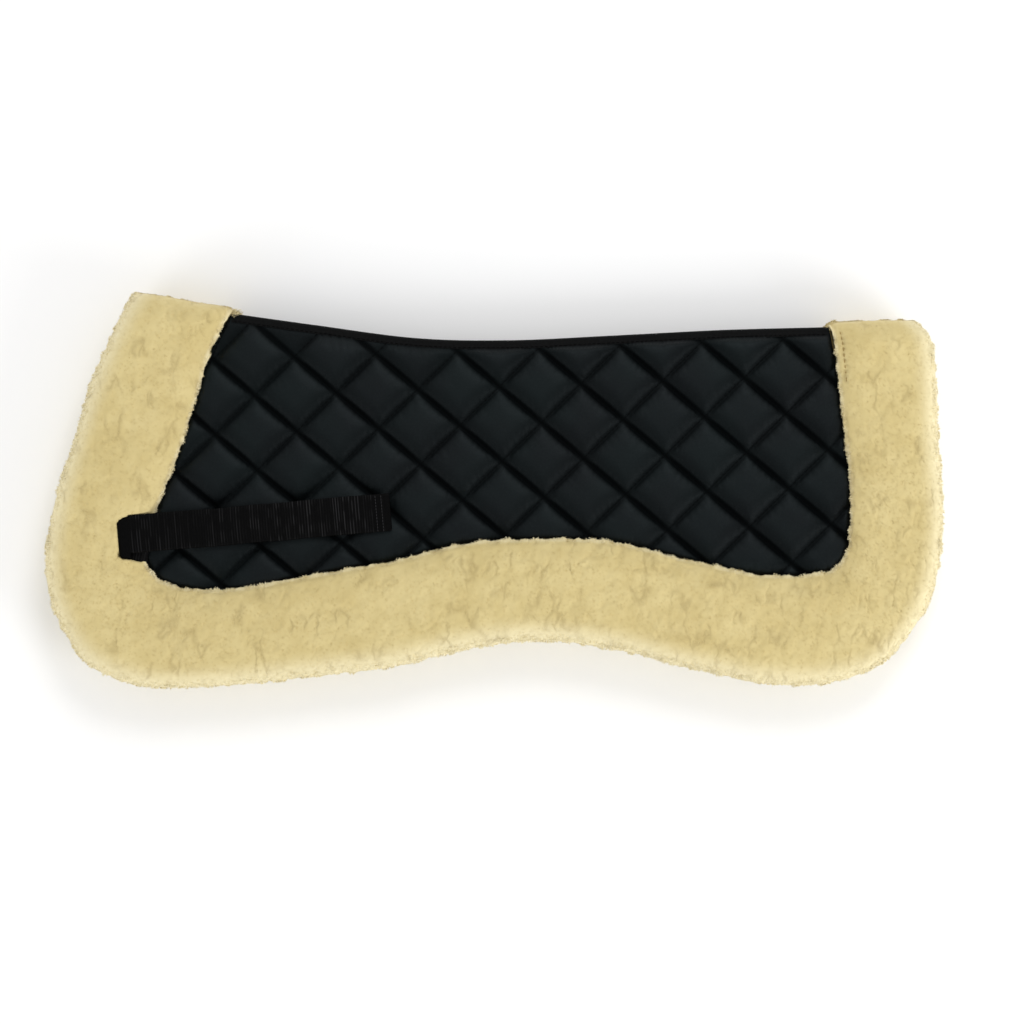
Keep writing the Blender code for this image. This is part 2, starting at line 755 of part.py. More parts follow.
def make_hem_stitch(side, material, pivot):
    """The thread row that closes the hem, on the flap's outer face."""
    start = FLAP_LENGTH - HEM_STITCH_INSET - HEM_STITCH_LENGTH
    plan = zigzag(start, HEM_STITCH_LENGTH, HEM_STITCH_TURNS, STRAP_WIDTH)
    low = WEBBING_THICKNESS / 2 + GAP
    rings = []
    for b in (low, low + STITCH_THICKNESS):
        lifted = [(flap_point(p.x, b), p.y) for p in plan]
        rings.append([strap_place(s, over, h, side) for (s, h), over in lifted])
    return make_object(side_name(side, "hem_stitch"), *loft(rings), material, pivot)


# Assembly


def side_name(side, piece):
    return ("left_" if side == LEFT else "right_") + piece


def hinge_line():
    """Two points of the fold axis, just outside the highest points of both folded ends."""
    front, rear = RINGS[0][0], RINGS[-1][0]
    out = -inward(rear, front) * HINGE_CLEARANCE
    return [place(end.x + out.x, end.y + out.y, 0, LEFT) for end in (front, rear)]


def make_half(side, fold_pivot, fine_quilt, coarse_quilt):
    """All pieces of one half, with its strap."""
    pivot = fold_pivot if side == LEFT else None
    make_cover(side, COTTON, pivot, fine_quilt, coarse_quilt)
    make_wadding(side, WADDING, pivot, coarse_quilt)
    make_lining(side, FLEECE, pivot)
    make_border(side, FLEECE, pivot, make_pocket_cutter(side))
    make_border_core(side, WADDING, pivot)
    make_spine_tape(side, TAPE, pivot)
    make_seam_thread(side, THREAD, pivot)
    make_strap_base(side, WEBBING, pivot)
    make_anchor_stitch(side, THREAD, pivot)
    strap_at = strap_place(0, 0, PIVOT_HEIGHT, side)
    strap_pivot = make_pivot(side_name(side, "strap_pivot"), strap_at, pivot)
    make_strap_flap(side, WEBBING, strap_pivot)
    make_closure(side, "loop_tape", LOOP_SPAN, CLOSURE, strap_pivot)
    make_closure(side, "hook_tape", HOOK_SPAN, CLOSURE, strap_pivot)
    make_hem_stitch(side, THREAD, strap_pivot)


clear_scene()
FLEECE = make_material("fleece", (0.63, 0.50, 0.24), 0.95)
COTTON = make_material("quilted_cotton", (0.010, 0.012, 0.014), 0.75)
WADDING = make_material("wadding", (0.75, 0.75, 0.73), 0.9)
TAPE = make_material("binding_tape", (0.013, 0.012, 0.011), 0.7)
WEBBING = make_material("webbing", (0.005, 0.005, 0.005), 0.6)
CLOSURE = make_material("hook_and_loop", (0.007, 0.007, 0.007), 0.85)
THREAD = make_material("thread", (0.012, 0.012, 0.013), 0.5)

QUILT_LOOP = panel_loops()[1]
FINE_QUILT = quilt_surface(QUILT_LOOP, (0.14, 0.5, 0.86))
COARSE_QUILT = quilt_surface(QUILT_LOOP, (0.5,))
FOLD_PIVOT = make_pivot("spine_fold_pivot", sum(hinge_line(), Vector()) / 2)
for half_side in (RIGHT, LEFT):
    make_half(half_side, FOLD_PIVOT, FINE_QUILT, COARSE_QUILT)
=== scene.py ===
import math
from types import SimpleNamespace

import bpy
import numpy as np
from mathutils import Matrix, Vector
from mathutils.geometry import delaunay_2d_cdt
from mathutils.kdtree import KDTree


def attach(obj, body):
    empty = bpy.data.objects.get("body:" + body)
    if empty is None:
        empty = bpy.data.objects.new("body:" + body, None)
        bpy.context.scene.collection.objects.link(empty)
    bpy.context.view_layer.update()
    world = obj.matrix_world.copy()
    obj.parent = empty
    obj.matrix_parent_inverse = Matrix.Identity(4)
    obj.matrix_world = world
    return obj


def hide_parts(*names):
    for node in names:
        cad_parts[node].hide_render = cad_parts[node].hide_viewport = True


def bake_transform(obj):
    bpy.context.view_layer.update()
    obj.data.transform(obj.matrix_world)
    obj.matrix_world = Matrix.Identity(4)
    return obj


# Half pad, folded flat along its spine: the looks of its CAD frame.
# Plan points are pattern points, and heights in one half are measured outwards from the middle
# plane, where the two halves meet. LEFT is the upper half. All sizes are in metres.

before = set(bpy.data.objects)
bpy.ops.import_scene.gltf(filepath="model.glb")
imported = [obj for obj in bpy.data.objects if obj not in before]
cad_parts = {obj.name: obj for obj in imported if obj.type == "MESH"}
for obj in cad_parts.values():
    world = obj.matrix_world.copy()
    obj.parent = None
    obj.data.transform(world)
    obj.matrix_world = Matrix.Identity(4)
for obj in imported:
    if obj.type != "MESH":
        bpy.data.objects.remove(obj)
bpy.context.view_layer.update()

PAD_LENGTH, PAD_DEPTH = 0.619, 0.274
CENTRE = np.array((0.0009745, 0.0003775))
MIDDLE = 0.0235
LEFT, RIGHT = 1, -1
FULL_TURN = 2 * math.pi

# Outer point and seam point along the border, as shares of the pad's length and depth
BORDER_PATTERN = (
    ((-0.4016, 0.5026), (-0.2919, 0.4471)),
    ((-0.4317, 0.3653), (-0.3137, 0.3453)),
    ((-0.4651, 0.1515), (-0.3354, 0.1792)),
    ((-0.4929, -0.0796), (-0.3716, -0.0445)),
    ((-0.4990, -0.1905), (-0.3842, -0.1401)),
    ((-0.4884, -0.3062), (-0.3821, -0.1905)),
    ((-0.4562, -0.4266), (-0.3704, -0.2204)),
    ((-0.3982, -0.4909), (-0.3449, -0.2431)),
    ((-0.3147, -0.4971), (-0.2969, -0.2482)),
    ((-0.2145, -0.4745), (-0.2145, -0.2168)),
    ((-0.1011, -0.4398), (-0.1011, -0.1679)),
    ((-0.0310, -0.4004), (-0.0342, -0.1325)),
    ((0.0470, -0.3810), (0.0470, -0.1226)),
    ((0.1360, -0.4015), (0.1326, -0.1274)),
    ((0.2216, -0.4518), (0.2216, -0.1741)),
    ((0.2974, -0.4872), (0.2885, -0.2080)),
    ((0.3641, -0.4883), (0.3486, -0.2106)),
    ((0.4221, -0.4533), (0.3798, -0.1942)),
    ((0.4611, -0.3763), (0.3926, -0.1500)),
    ((0.4889, -0.2606), (0.3956, -0.0796)),
    ((0.5008, -0.1000), (0.3964, 0.0208)),
    ((0.4982, 0.1062), (0.3910, 0.1241)),
    ((0.4945, 0.2650), (0.3829, 0.2650)),
    ((0.4877, 0.3905), (0.3777, 0.3781)),
    ((0.4733, 0.4296), (0.3750, 0.4124)),
)
SPINE_PATTERN = (
    (-0.2919, 0.4471),
    (-0.1979, 0.4175),
    (-0.0832, 0.3843),
    (0.0165, 0.3792),
    (0.1315, 0.3909),
    (0.2596, 0.4055),
    (0.3750, 0.4124),
)

# Heights and sections
BORDER_HEIGHT = 0.024
CHANNEL_HEIGHT = 0.012
PUFF_RISE = 0.005
FOLD_HEIGHT = 0.0079
LINING_TOP = 0.00495
FOLD_ROUND = 0.020
FOLD_SHARE = 0.12
TAPE_BAND = 0.0063
PANEL_DROP = 0.009
PANEL_GAP = 0.0003
PANEL_TUCK = 0.0015
SPINE_GAP = 0.0013
COVER_LOW = 0.0053
FILLING_LOW = 0.0054
FLOOR = -0.0004

# The roll's outline, as shares of its width, distances in, shares of its height and heights
ROLL_OUTLINE = (
    (1, -0.0004, 0, 0.0009),
    (1, -0.0100, 0, 0.0003),
    (0.55, 0, 0, 0.0003),
    (0.22, 0, 0, 0.0003),
    (0, 0.0060, 0.06, 0),
    (0, 0.0016, 0.22, 0),
    (0, 0.0, 0.46, 0),
    (0, 0.0030, 0.76, 0),
    (0, 0.0115, 0.945, 0),
    (0.29, 0, 0.985, 0),
    (0.42, 0, 0.995, 0),
    (0.58, 0, 0.985, 0),
    (1, -0.0150, 0.94, 0),
    (1, -0.0046, 0.81, 0),
    (1, -0.0009, 0.715, 0),
    (1, 0.0002, 0.655, 0),
    (1, -0.0003, 0.595, 0),
    (1, -0.0011, 0.53, 0),
    (1, -0.0011, 0.25, 0),
)
ROLL_RINGS, ROLL_COLUMNS = 800, 122
WRAP_RINGS, WRAP_COLUMNS = 170, 56
LINING_STEP = 0.0021
LOCK_TRIES = 118000
LINING_LOCKS = 34000
WRAP_LOCKS = 4200

# How far the fleece swells past each folded end: share of the border's width, and distance
FRONT_SWELL = (
    (0.0, 0.0), (0.18, 0.0010), (0.37, 0.0017), (0.55, 0.0019), (0.72, 0.0026), (0.86, 0.0036),
    (0.94, 0.0036), (1.0, 0.0024), (1.03, 0.0024), (1.06, 0.0018), (1.09, 0.0010),
)
REAR_SWELL = (
    (0.0, 0.0), (0.03, 0.0004), (0.35, 0.0018), (0.63, 0.0025), (0.88, 0.0037), (0.94, 0.0033),
    (0.98, 0.0020), (1.0, 0.0006),
)
# Half the height of the fleece round a folded end, from the pad's corner on
END_HEIGHTS = ((0, 0.0040), (0.003, 0.0050), (0.0115, 0.0056), (0.03, 0.0058))

# Quilting
QUILT_SIDE = 0.0381
QUILT_FALL = np.array((math.cos(math.radians(40.4)), -math.sin(math.radians(40.4)))) * QUILT_SIDE
QUILT_RISE = np.array((math.cos(math.radians(44.5)), math.sin(math.radians(44.5)))) * QUILT_SIDE
QUILT_CROSSING = np.array((-0.2651 * PAD_LENGTH, 0.2383 * PAD_DEPTH))
QUILT_REACH = int(0.36 / QUILT_SIDE) + 8
CLOTH_SCALE = 20.0
CLOTH_FRAMES = 18

# Stitches
STITCH_STATIONS = (
    (-0.5, -0.9, 0.35), (-0.36, 0.35, 0.9), (0.0, 1.0, 1.0), (0.36, 0.35, 0.9), (0.5, -0.9, 0.35),
)
TOPSTITCH_INSET = 0.0056
TOPSTITCH_PITCH = 0.0042
QUILT_PITCH = 0.0036
SEAM_PITCH = 0.0040
TAPE_PITCH = 0.0033
HEM_PITCH = 0.0021
TAPE_STITCH_INSET = 0.0054

# Strap
STRAP_PIVOT = np.array((-0.4108 * PAD_LENGTH, -0.1128 * PAD_DEPTH))
STRAP_TILT = math.radians(4.93)
BASE_TURN = math.radians(18)
HALF_STRAP = 0.026 / 2
WEBBING = 0.0014
FLAP_LENGTH = 0.185
PIVOT_HEIGHT = 0.0211
BASE_HEIGHT = 0.0184
BASE_SHIFT = 0.0022
FLAP_DROP = 0.0016 / 0.170
NOSE_LENGTH = 0.0052
NOSE_RADIUS = 0.00125
HEM_START = 0.1795
RIB_PITCH = 0.00185
FLAP_RIBS = 0.00034
BASE_RIBS = 0.0002

# The edges of the flap near its nose, and of the bed under it: distance along it, and across
FLAP_HIGH = (
    (-0.0023, 0.0080), (-0.0015, 0.0102), (0.0, 0.0112), (NOSE_LENGTH - 0.0004, 0.0127),
    (NOSE_LENGTH, HALF_STRAP),
)
FLAP_LOW = (
    (-0.0023, -0.0139), (-0.0012, -0.0161), (NOSE_LENGTH - 0.0002, -0.0166),
    (NOSE_LENGTH, -HALF_STRAP),
)
BED_HIGH = (
    (-0.0030, 0.0080), (0.0, 0.0108), (NOSE_LENGTH, 0.0124), (NOSE_LENGTH + 0.001, HALF_STRAP),
)
BED_LOW = ((-0.0030, -0.0136), (-0.0012, -0.0164), (NOSE_LENGTH, -0.0166), (0.010, -HALF_STRAP))
# The base's height and its share of the full width, at distances along it
BASE_HEIGHTS = (
    (-0.0002, 0.0183), (0.013, 0.0183), (0.0165, 0.0176), (0.019, 0.0158), (0.0215, 0.0128),
)
BASE_WIDTHS = ((-0.0002, 0.66), (0.0006, 0.80), (0.0020, 0.92), (0.006, 1.0))

# Name, place, size and power of each lamp
LAMPS = (
    ("key", (0.35, 1.25, 1.40), 0.9, 12.6),
    ("fill", (1.5, -1.0, 0.65), 1.2, 19.5),
    ("side", (-1.3, -0.9, 0.50), 1.0, 8.0),
)


# Noise and soft steps


def grid_value(cell, seed):
    """A fixed number from 0 to 1 for each whole-numbered grid point."""
    mask = 0xFFFFFFFF
    h = (cell[..., 0] * 374761393 + cell[..., 1] * 668265263 + cell[..., 2] * 1274126177) & mask
    h = (h + seed * 362437) & mask
    h = ((h ^ (h >> 13)) * 1103515245) & mask
    h = ((h ^ (h >> 15)) * 1274126177) & mask
    return ((h ^ (h >> 16)) & 0xFFFFFF) / 0xFFFFFF


def noise(points, size, seed):
    """Soft noise from -1 to 1, with bumps about size across."""
    q = points / size
    base = np.floor(q).astype(np.int64)
    f = q - base
    f = f * f * f * (f * (f * 6 - 15) + 10)
    total = np.zeros(points.shape[:-1])
    for corner in np.ndindex(2, 2, 2):
        c = np.array(corner)
        weight = np.prod(np.where(c == 1, f, 1 - f), axis=-1)
        total += weight * grid_value(base + c, seed)
    return total * 2 - 1


def line_noise(distances, size, seed):
    """Soft noise along a line."""
    return noise(np.stack((distances, 0 * distances, 0 * distances), -1), size, seed)


def cells(points, size, seed):
    """Distances to the nearest and the second nearest of scattered centres, in cell sizes."""
    q = points / size
    base = np.floor(q).astype(np.int64)
    near = np.full(points.shape[:-1], 9.0)
    second = near.copy()
    for shift in np.ndindex(3, 3, 3):
        cell = base + np.array(shift) - 1
        centre = cell + np.stack([grid_value(cell, seed + k) for k in (0, 1, 2)], -1)
        d = np.linalg.norm(q - centre, axis=-1)
        second = np.minimum(second, np.maximum(near, d))
        near = np.minimum(near, d)
    return near, second


def smooth(low, high, value):
    """0 below low, 1 above high and a soft rise between."""
    t = np.clip((value - low) / (high - low), 0, 1)
    return t * t * (3 - 2 * t)


def quarter_round(t):
    """A quarter circle, from 1 where t is 0 or less to 0 where it is 1 or more."""
    return np.sqrt(1 - np.clip(t, 0, 1) ** 2)


def curve(value, table):
    """Values read off the straight lines between a table's pairs."""
    return np.interp(value, *zip(*table))


# Plan curves


def spline(points, fine=60):
    """The smooth curve through points, with fine steps to a span. Points may be rows of numbers."""
    p = np.asarray(points, float)
    p = np.concatenate((2 * p[:1] - p[1:2], p, 2 * p[-1:] - p[-2:-1]))
    flat = p.reshape(len(p), -1)[:, :2]
    knots = np.linalg.norm(np.diff(flat, axis=0), axis=1) ** 0.5
    t = np.arange(fine).reshape((fine,) + (1,) * (p.ndim - 1)) / fine
    rows = []
    for i in range(1, len(p) - 2):
        k0, k1, k2 = knots[i - 1], knots[i], knots[i + 1]
        a, b, c, d = p[i - 1], p[i], p[i + 1], p[i + 2]
        m1 = ((b - a) / k0 - (c - a) / (k0 + k1) + (c - b) / k1) * k1
        m2 = ((c - b) / k1 - (d - b) / (k1 + k2) + (d - c) / k2) * k1
        h = 2 * t**3 - 3 * t**2 + 1
        rows.append(h * b + (t**3 - 2 * t**2 + t) * m1 + (1 - h) * c + (t**3 - t**2) * m2)
    return np.concatenate((*rows, p[-2:-1]))


def run_of(line):
    """The distance along a line at each of its points."""
    return np.concatenate(([0], np.cumsum(np.linalg.norm(np.diff(line, axis=0), axis=1))))


def resample(line, distances, run=None):
    """Points of a line at the given distances along it."""
    run = run_of(line) if run is None else run
    return np.stack([np.interp(distances, run, line[:, k]) for k in range(line.shape[1])], -1)


def sized(points):
    """Pattern points in metres, from shares of the pad's length and depth."""
    return np.asarray(points) * (PAD_LENGTH, PAD_DEPTH)


def unit(v):
    """Vectors with their lengths made 1."""
    return v / np.maximum(np.linalg.norm(v, axis=-1, keepdims=True), 1e-12)


def left_of(line):
    """The unit normals on the left of a plan line, at its points."""
    d = unit(np.gradient(line, axis=0))
    return np.stack((-d[:, 1], d[:, 0]), -1)


def level(v):
    """Plan vectors as level vectors in space."""
    return np.column_stack((v, np.zeros(len(v))))


OUTER_LINE = spline(sized([pair[0] for pair in BORDER_PATTERN]))
SEAM_LINE = spline(sized([pair[1] for pair in BORDER_PATTERN]))
OUTER_RUN = run_of(OUTER_LINE)
OUTER_LENGTH = OUTER_RUN[-1]
SPINE_LINE = spline(sized(SPINE_PATTERN))
SPINE_RUN = run_of(SPINE_LINE)


def border_rings(distances):
    """Outer point, seam point and share of the full height at distances along the border."""
    outer = resample(OUTER_LINE, distances, OUTER_RUN)
    seam = resample(SEAM_LINE, distances, OUTER_RUN)
    for end, inner in ((0.0, FOLD_ROUND), (OUTER_LENGTH, OUTER_LENGTH - FOLD_ROUND)):
        o, s = (resample(line, (end, inner), OUTER_RUN) for line in (OUTER_LINE, SEAM_LINE))
        near = np.abs(distances - end) < FOLD_ROUND
        part = np.linalg.norm(outer[near] - o[0], axis=1) / np.linalg.norm(o[1] - o[0])
        seam[near] = s[0] + part[:, None] * (s[1] - s[0])
    from_end = np.minimum(distances, OUTER_LENGTH - distances)
    return outer, seam, FOLD_SHARE + (1 - FOLD_SHARE) * quarter_round(1 - from_end / FOLD_ROUND)


def border_widths(outer, seam):
    """The border's width at its rings, and the unit vectors across it."""
    width = np.linalg.norm(seam - outer, axis=1)
    return width, (seam - outer) / width[:, None]


def panel_seam(inset, step, tuck=0.0):
    """The panel's edge along the border, inset from the seam, and tucked out under the roll."""
    _, seam, _ = border_rings(np.linspace(0, OUTER_LENGTH, int(OUTER_LENGTH / step)))
    run = run_of(seam)
    at = np.linspace(0, run[-1], int(run[-1] / step))
    seam = resample(seam, at, run)
    under = tuck * smooth(0.010, 0.030, np.minimum(at, run[-1] - at))
    return seam + left_of(seam) * (inset - under)[:, None]


def panel_outline(seam_inset, spine_inset, step, tuck=0.0):
    """The closed outline of the quilted panel: its edge along the border, then along the spine."""
    seam = panel_seam(seam_inset, step, tuck)
    stops = np.linspace(0, SPINE_RUN[-1], int(SPINE_RUN[-1] / step))
    spine = resample(SPINE_LINE, stops, SPINE_RUN)[::-1]
    spine = spine + left_of(spine) * spine_inset
    keep = (spine[:, 0] < seam[-1, 0] - step / 2) & (spine[:, 0] > seam[0, 0] + step / 2)
    return np.concatenate((seam, spine[keep]))


def distance_to(points, line, closed=False):
    """How far plan points lie from a plan line."""
    nearest = np.full(len(points), np.inf)
    ends = np.roll(line, -1, axis=0) if closed else line[1:]
    for a, b in zip(line, ends):
        d = b - a
        t = np.clip(((points - a) @ d) / (d @ d), 0, 1)
        gap = points - a - t[:, None] * d
        nearest = np.minimum(nearest, np.einsum("ij,ij->i", gap, gap))
    return np.sqrt(nearest)


def spine_distance(points):
    """How far plan points lie from the spine's line."""
    return distance_to(points, SPINE_LINE[::6])


def inside(points, loop):
    """Which plan points lie inside a loop."""
    found = np.zeros(len(points), bool)
    for a, b in zip(loop, np.roll(loop, -1, axis=0)):
        if a[1] != b[1]:
            crossed = (a[1] > points[:, 1]) != (b[1] > points[:, 1])
            at = a[0] + (points[:, 1] - a[1]) / (b[1] - a[1]) * (b[0] - a[0])
            found ^= crossed & (points[:, 0] < at)
    return found


def well_inside(points, loop, margin):
    """The numbers of the points that lie inside a loop by more than a margin, and how far."""
    boxed = np.all((points > loop.min(0)) & (points < loop.max(0)), axis=1)
    found = np.nonzero(boxed)[0]
    found = found[inside(points[found], loop)]
    room = distance_to(points[found], loop, closed=True)
    return found[room > margin], room[room > margin]


def place(plan, height, side):
    """Pattern points with heights in one half, as points of the whole pad."""
    plan = plan - CENTRE
    z = MIDDLE + side * np.broadcast_to(height, plan.shape[:-1])
    return np.concatenate((plan, z[..., None]), -1)


# Meshes and pieces


def grid_normals(points):
    """Unit normals of a grid of points, whose rows are rings."""
    across = np.roll(points, -1, axis=1) - np.roll(points, 1, axis=1)
    return unit(np.cross(np.gradient(points, axis=0), across))


def tube_faces(rows, columns):
    """Triangles of a closed tube of rings, with flat ends."""
    r, c = np.meshgrid(np.arange(rows - 1), np.arange(columns), indexing="ij")
    a, b = r * columns + c, r * columns + (c + 1) % columns
    quads = np.stack((a, b, b + columns, a + columns), -1).reshape(-1, 4)
    fan = np.arange(1, columns - 1)
    first = np.stack((0 * fan, fan + 1, fan), -1)
    last = np.stack((0 * fan, fan, fan + 1), -1) + (rows - 1) * columns
    return np.concatenate((quads[:, [0, 1, 2]], quads[:, [0, 2, 3]], first, last))


def slab_faces(triangles, rim, base, closed):
    """A slab's top, the wall under its first rim points, and its floor if it is closed.

    The lower points come base points after the upper ones.
    """
    first = np.arange(rim)
    after = (first + 1) % rim
    wall = np.stack((first, base + first, base + after), -1)
    parts = [triangles, wall, np.stack((first, base + after, after), -1)]
    if closed:
        parts.append(triangles[:, ::-1] + base)
    return np.concatenate(parts)


def fill_loop(loop, inner):
    """Triangles over the points of a loop and the points inside it, numbered in that order."""
    points = [tuple(p) for p in np.concatenate((loop, inner))]
    made = delaunay_2d_cdt(points, [], [list(range(len(loop)))], 1, 1e-7)
    order = np.array([origin[0] for origin in made[3]])
    return order[np.array(made[2])]


def add_object(name, data):
    """Puts an object with this data into the scene."""
    made = bpy.data.objects.new(name, data)
    bpy.context.scene.collection.objects.link(made)
    return made


def make_mesh(name, points, faces, material, flip=False, sharp=None):
    """A smooth mesh object from arrays of points and of faces, which flip turns inside out."""
    points = np.asarray(points, np.float32).reshape(-1, 3)
    faces = np.asarray(faces, np.int32)[:, :: -1 if flip else 1]
    starts = np.arange(0, faces.size, faces.shape[1], dtype=np.int32)
    mesh = bpy.data.meshes.new(name)
    mesh.vertices.add(len(points))
    mesh.vertices.foreach_set("co", points.ravel())
    mesh.loops.add(faces.size)
    mesh.loops.foreach_set("vertex_index", faces.ravel())
    mesh.polygons.add(len(faces))
    mesh.polygons.foreach_set("loop_start", starts)
    mesh.update(calc_edges=True)
    mesh.validate()
    mesh.shade_smooth()
    if sharp:
        mesh.set_sharp_from_angle(angle=sharp)
    mesh.materials.append(material)
    return add_object(name, mesh)


def make_tube(name, grid, material, flip, sharp=None):
    """A closed tube through a grid of points, whose rows are rings."""
    return make_mesh(name, grid, tube_faces(*grid.shape[:2]), material, flip, sharp)


def set_values(piece, name, values):
    """Stores a number for each point of a piece, which its material reads."""
    made = piece.data.attributes.new(name, "FLOAT", "POINT")
    made.data.foreach_set("value", np.asarray(values, np.float32).ravel())


def side_name(side, name):
    """The name of a piece, node or body of one half."""
    return ("left_" if side == LEFT else "right_") + name


def dress(piece, side=0, on="half", node=None):
    """Makes a piece ride on a body of its half, and hides the CAD part that it stands for."""
    if side and on:
        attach(piece, side_name(side, on))
    if node:
        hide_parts(side_name(side, node))


# Materials


class Nodes:
    """The shader nodes of one material, made and linked by short calls."""

    def __init__(self, name):
        """Starts the material, with its shader and the object's coordinates."""
        self.material = bpy.data.materials.new(name)
        self.material.use_nodes = True
        self.tree = self.material.node_tree
        self.shader = self.tree.nodes["Principled BSDF"]
        self.place = self.tree.nodes.new("ShaderNodeTexCoord").outputs["Object"]

    def put(self, socket, value):
        """Links an output to a socket, or sets the socket to a value."""
        if isinstance(value, bpy.types.NodeSocket):
            self.tree.links.new(value, socket)
        else:
            socket.default_value = (*value, 1) if socket.type == "RGBA" else value

    def node(self, kind, inputs, **settings):
        """Makes a node with settings and inputs."""
        made = self.tree.nodes.new("ShaderNode" + kind)
        for key, value in settings.items():
            setattr(made, key, value)
        for key, value in inputs.items():
            self.put(made.inputs[key], value)
        return made

    def math(self, operation, a, b):
        """One value from two."""
        return self.node("Math", {0: a, 1: b}, operation=operation).outputs[0]

    def ramp(self, value, low, high, start=0.0, end=1.0):
        """The value carried from one range to another, and held at its ends."""
        inputs = {0: value, 1: low, 2: high, 3: start, 4: end}
        return self.node("MapRange", inputs).outputs[0]

    def mix(self, factor, a, b):
        """A colour between two."""
        return self.node("Mix", {0: factor, 6: a, 7: b}, data_type="RGBA").outputs[2]

    def noise(self, scale, detail=2.0, output=0):
        """Noise over the object, as a value, or as a colour from output 1."""
        inputs = {"Vector": self.place, "Scale": scale, "Detail": detail}
        return self.node("TexNoise", inputs).outputs[output]

    def cells(self, scale, place, feature="F1"):
        """The distance to scattered points, or to the edges between them."""
        inputs = {"Vector": place, "Scale": scale}
        return self.node("TexVoronoi", inputs, feature=feature).outputs["Distance"]

    def scaled(self, place, scale):
        """Coordinates made larger or smaller along each axis."""
        return self.node("Mapping", {"Vector": place, "Scale": scale}).outputs[0]

    def wave(self, scale, direction):
        """Straight soft bands."""
        inputs = {"Vector": self.place, "Scale": scale}
        made = self.node("TexWave", inputs, wave_type="BANDS", bands_direction=direction)
        return made.outputs["Fac"]

    def weave(self, scale):
        """Bands both ways, as in a plain weave."""
        return self.math("MULTIPLY", self.wave(scale, "X"), self.wave(scale, "Y"))

    def value(self, name):
        """A number that the mesh stores for each point."""
        return self.node("Attribute", {}, attribute_name=name).outputs["Fac"]

    def bump(self, height, distance, strength, **normal):
        """Normals bumped by a height, on top of other bumped normals if given."""
        inputs = {"Height": height, "Distance": distance, "Strength": strength, **normal}
        return self.node("Bump", inputs).outputs[0]

    def finish(self, **inputs):
        """Sets the shader's inputs and gives the material."""
        for key, value in inputs.items():
            self.put(self.shader.inputs[key.replace("_", " ")], value)
        return self.material


def fleece_material():
    """Cream curled fleece: painted paler on its rims as painted rim light, and painted browner in
    its thin crevices and pits as painted shade.
    """
    n = Nodes("fleece")
    # The rim value says how far a point is painted paler, as painted rim light round the fleece's
    # edges.
    rim = n.value("rim")
    slow = n.noise(110.0, 2.0, 1)
    bent = n.node("MixRGB", {"Fac": 0.010, "Color1": n.place, "Color2": slow}).outputs[0]
    # Thin crevice lines, painted browner as painted shade; they also sink the bump.
    line = n.cells(95.0, n.scaled(bent, (1.0, 0.32, 0.5)), "DISTANCE_TO_EDGE")
    spread = n.ramp(n.noise(72.0, 0.0), 0.53, 0.68)
    crevice = n.math("MULTIPLY", n.ramp(line, 0.0, 0.13, 1.0, 0.0), spread)
    # Small pits in patches, painted browner as painted shade, more on the rims; they also sink the
    # bump.
    spot = n.ramp(n.noise(150.0), 0.5, 0.7)
    painted_pit_shade = n.ramp(n.cells(330.0, n.scaled(bent, (1.0, 0.5, 1.0))), 0.35, 0.9)
    painted_pit_shade = n.math("MULTIPLY", n.math("MULTIPLY", painted_pit_shade, spot), n.ramp(rim, 0.1, 0.9, 0.10, 0.42))
    painted_shade_and_depth = n.math("ADD", n.math("MULTIPLY", crevice, 0.80), painted_pit_shade)
    painted_shade_and_depth = n.math("ADD", painted_shade_and_depth, n.value("crevice"))
    broad = n.math("MULTIPLY", n.noise(24.0), 0.6)
    patches = n.math("ADD", broad, n.math("MULTIPLY", n.noise(95.0), 0.4))
    fine = n.noise(380.0, 3.0)
    base = n.mix(n.ramp(patches, 0.38, 0.62), (0.588, 0.474, 0.212), (0.650, 0.537, 0.258))
    # Painted rim light: pale cream where the rim value is high.
    base = n.mix(rim, base, (0.785, 0.70, 0.445))
    base = n.mix(n.ramp(fine, 0.35, 0.75, 0.0, 0.16), base, (0.50, 0.39, 0.17))
    # Painted shade: browner in the crevice lines, the pits and the stored crevice value.
    base = n.mix(n.ramp(painted_shade_and_depth, 0.0, 1.0, 0.0, 0.42), base, (0.30, 0.22, 0.085))
    height = n.math("SUBTRACT", n.math("MULTIPLY", fine, 0.25), painted_shade_and_depth)
    return n.finish(
        Base_Color=base,
        Roughness=0.95,
        Specular_IOR_Level=0.12,
        Sheen_Weight=0.25,
        Sheen_Roughness=0.6,
        Sheen_Tint=(1.0, 0.95, 0.8),
        Normal=n.bump(height, 0.0006, 0.55),
    )


def pile_material():
    """Single locks of the fleece, each with its own shade, and painted paler where the rim value
    asks for painted rim light.
    """
    n = Nodes("fleece_pile")
    full = n.mix(n.value("shade"), (0.580, 0.466, 0.208), (0.665, 0.554, 0.274))
    # Painted rim light: paler locks where the rim value is high.
    pale = n.mix(n.value("shade"), (0.74, 0.65, 0.40), (0.87, 0.80, 0.56))
    return n.finish(
        Base_Color=n.mix(n.value("rim"), full, pale),
        Roughness=0.9,
        Specular_IOR_Level=0.12,
        Sheen_Weight=0.25,
        Sheen_Tint=(1.0, 0.95, 0.8),
        Normal=n.bump(n.noise(700.0), 0.0002, 0.4),
    )


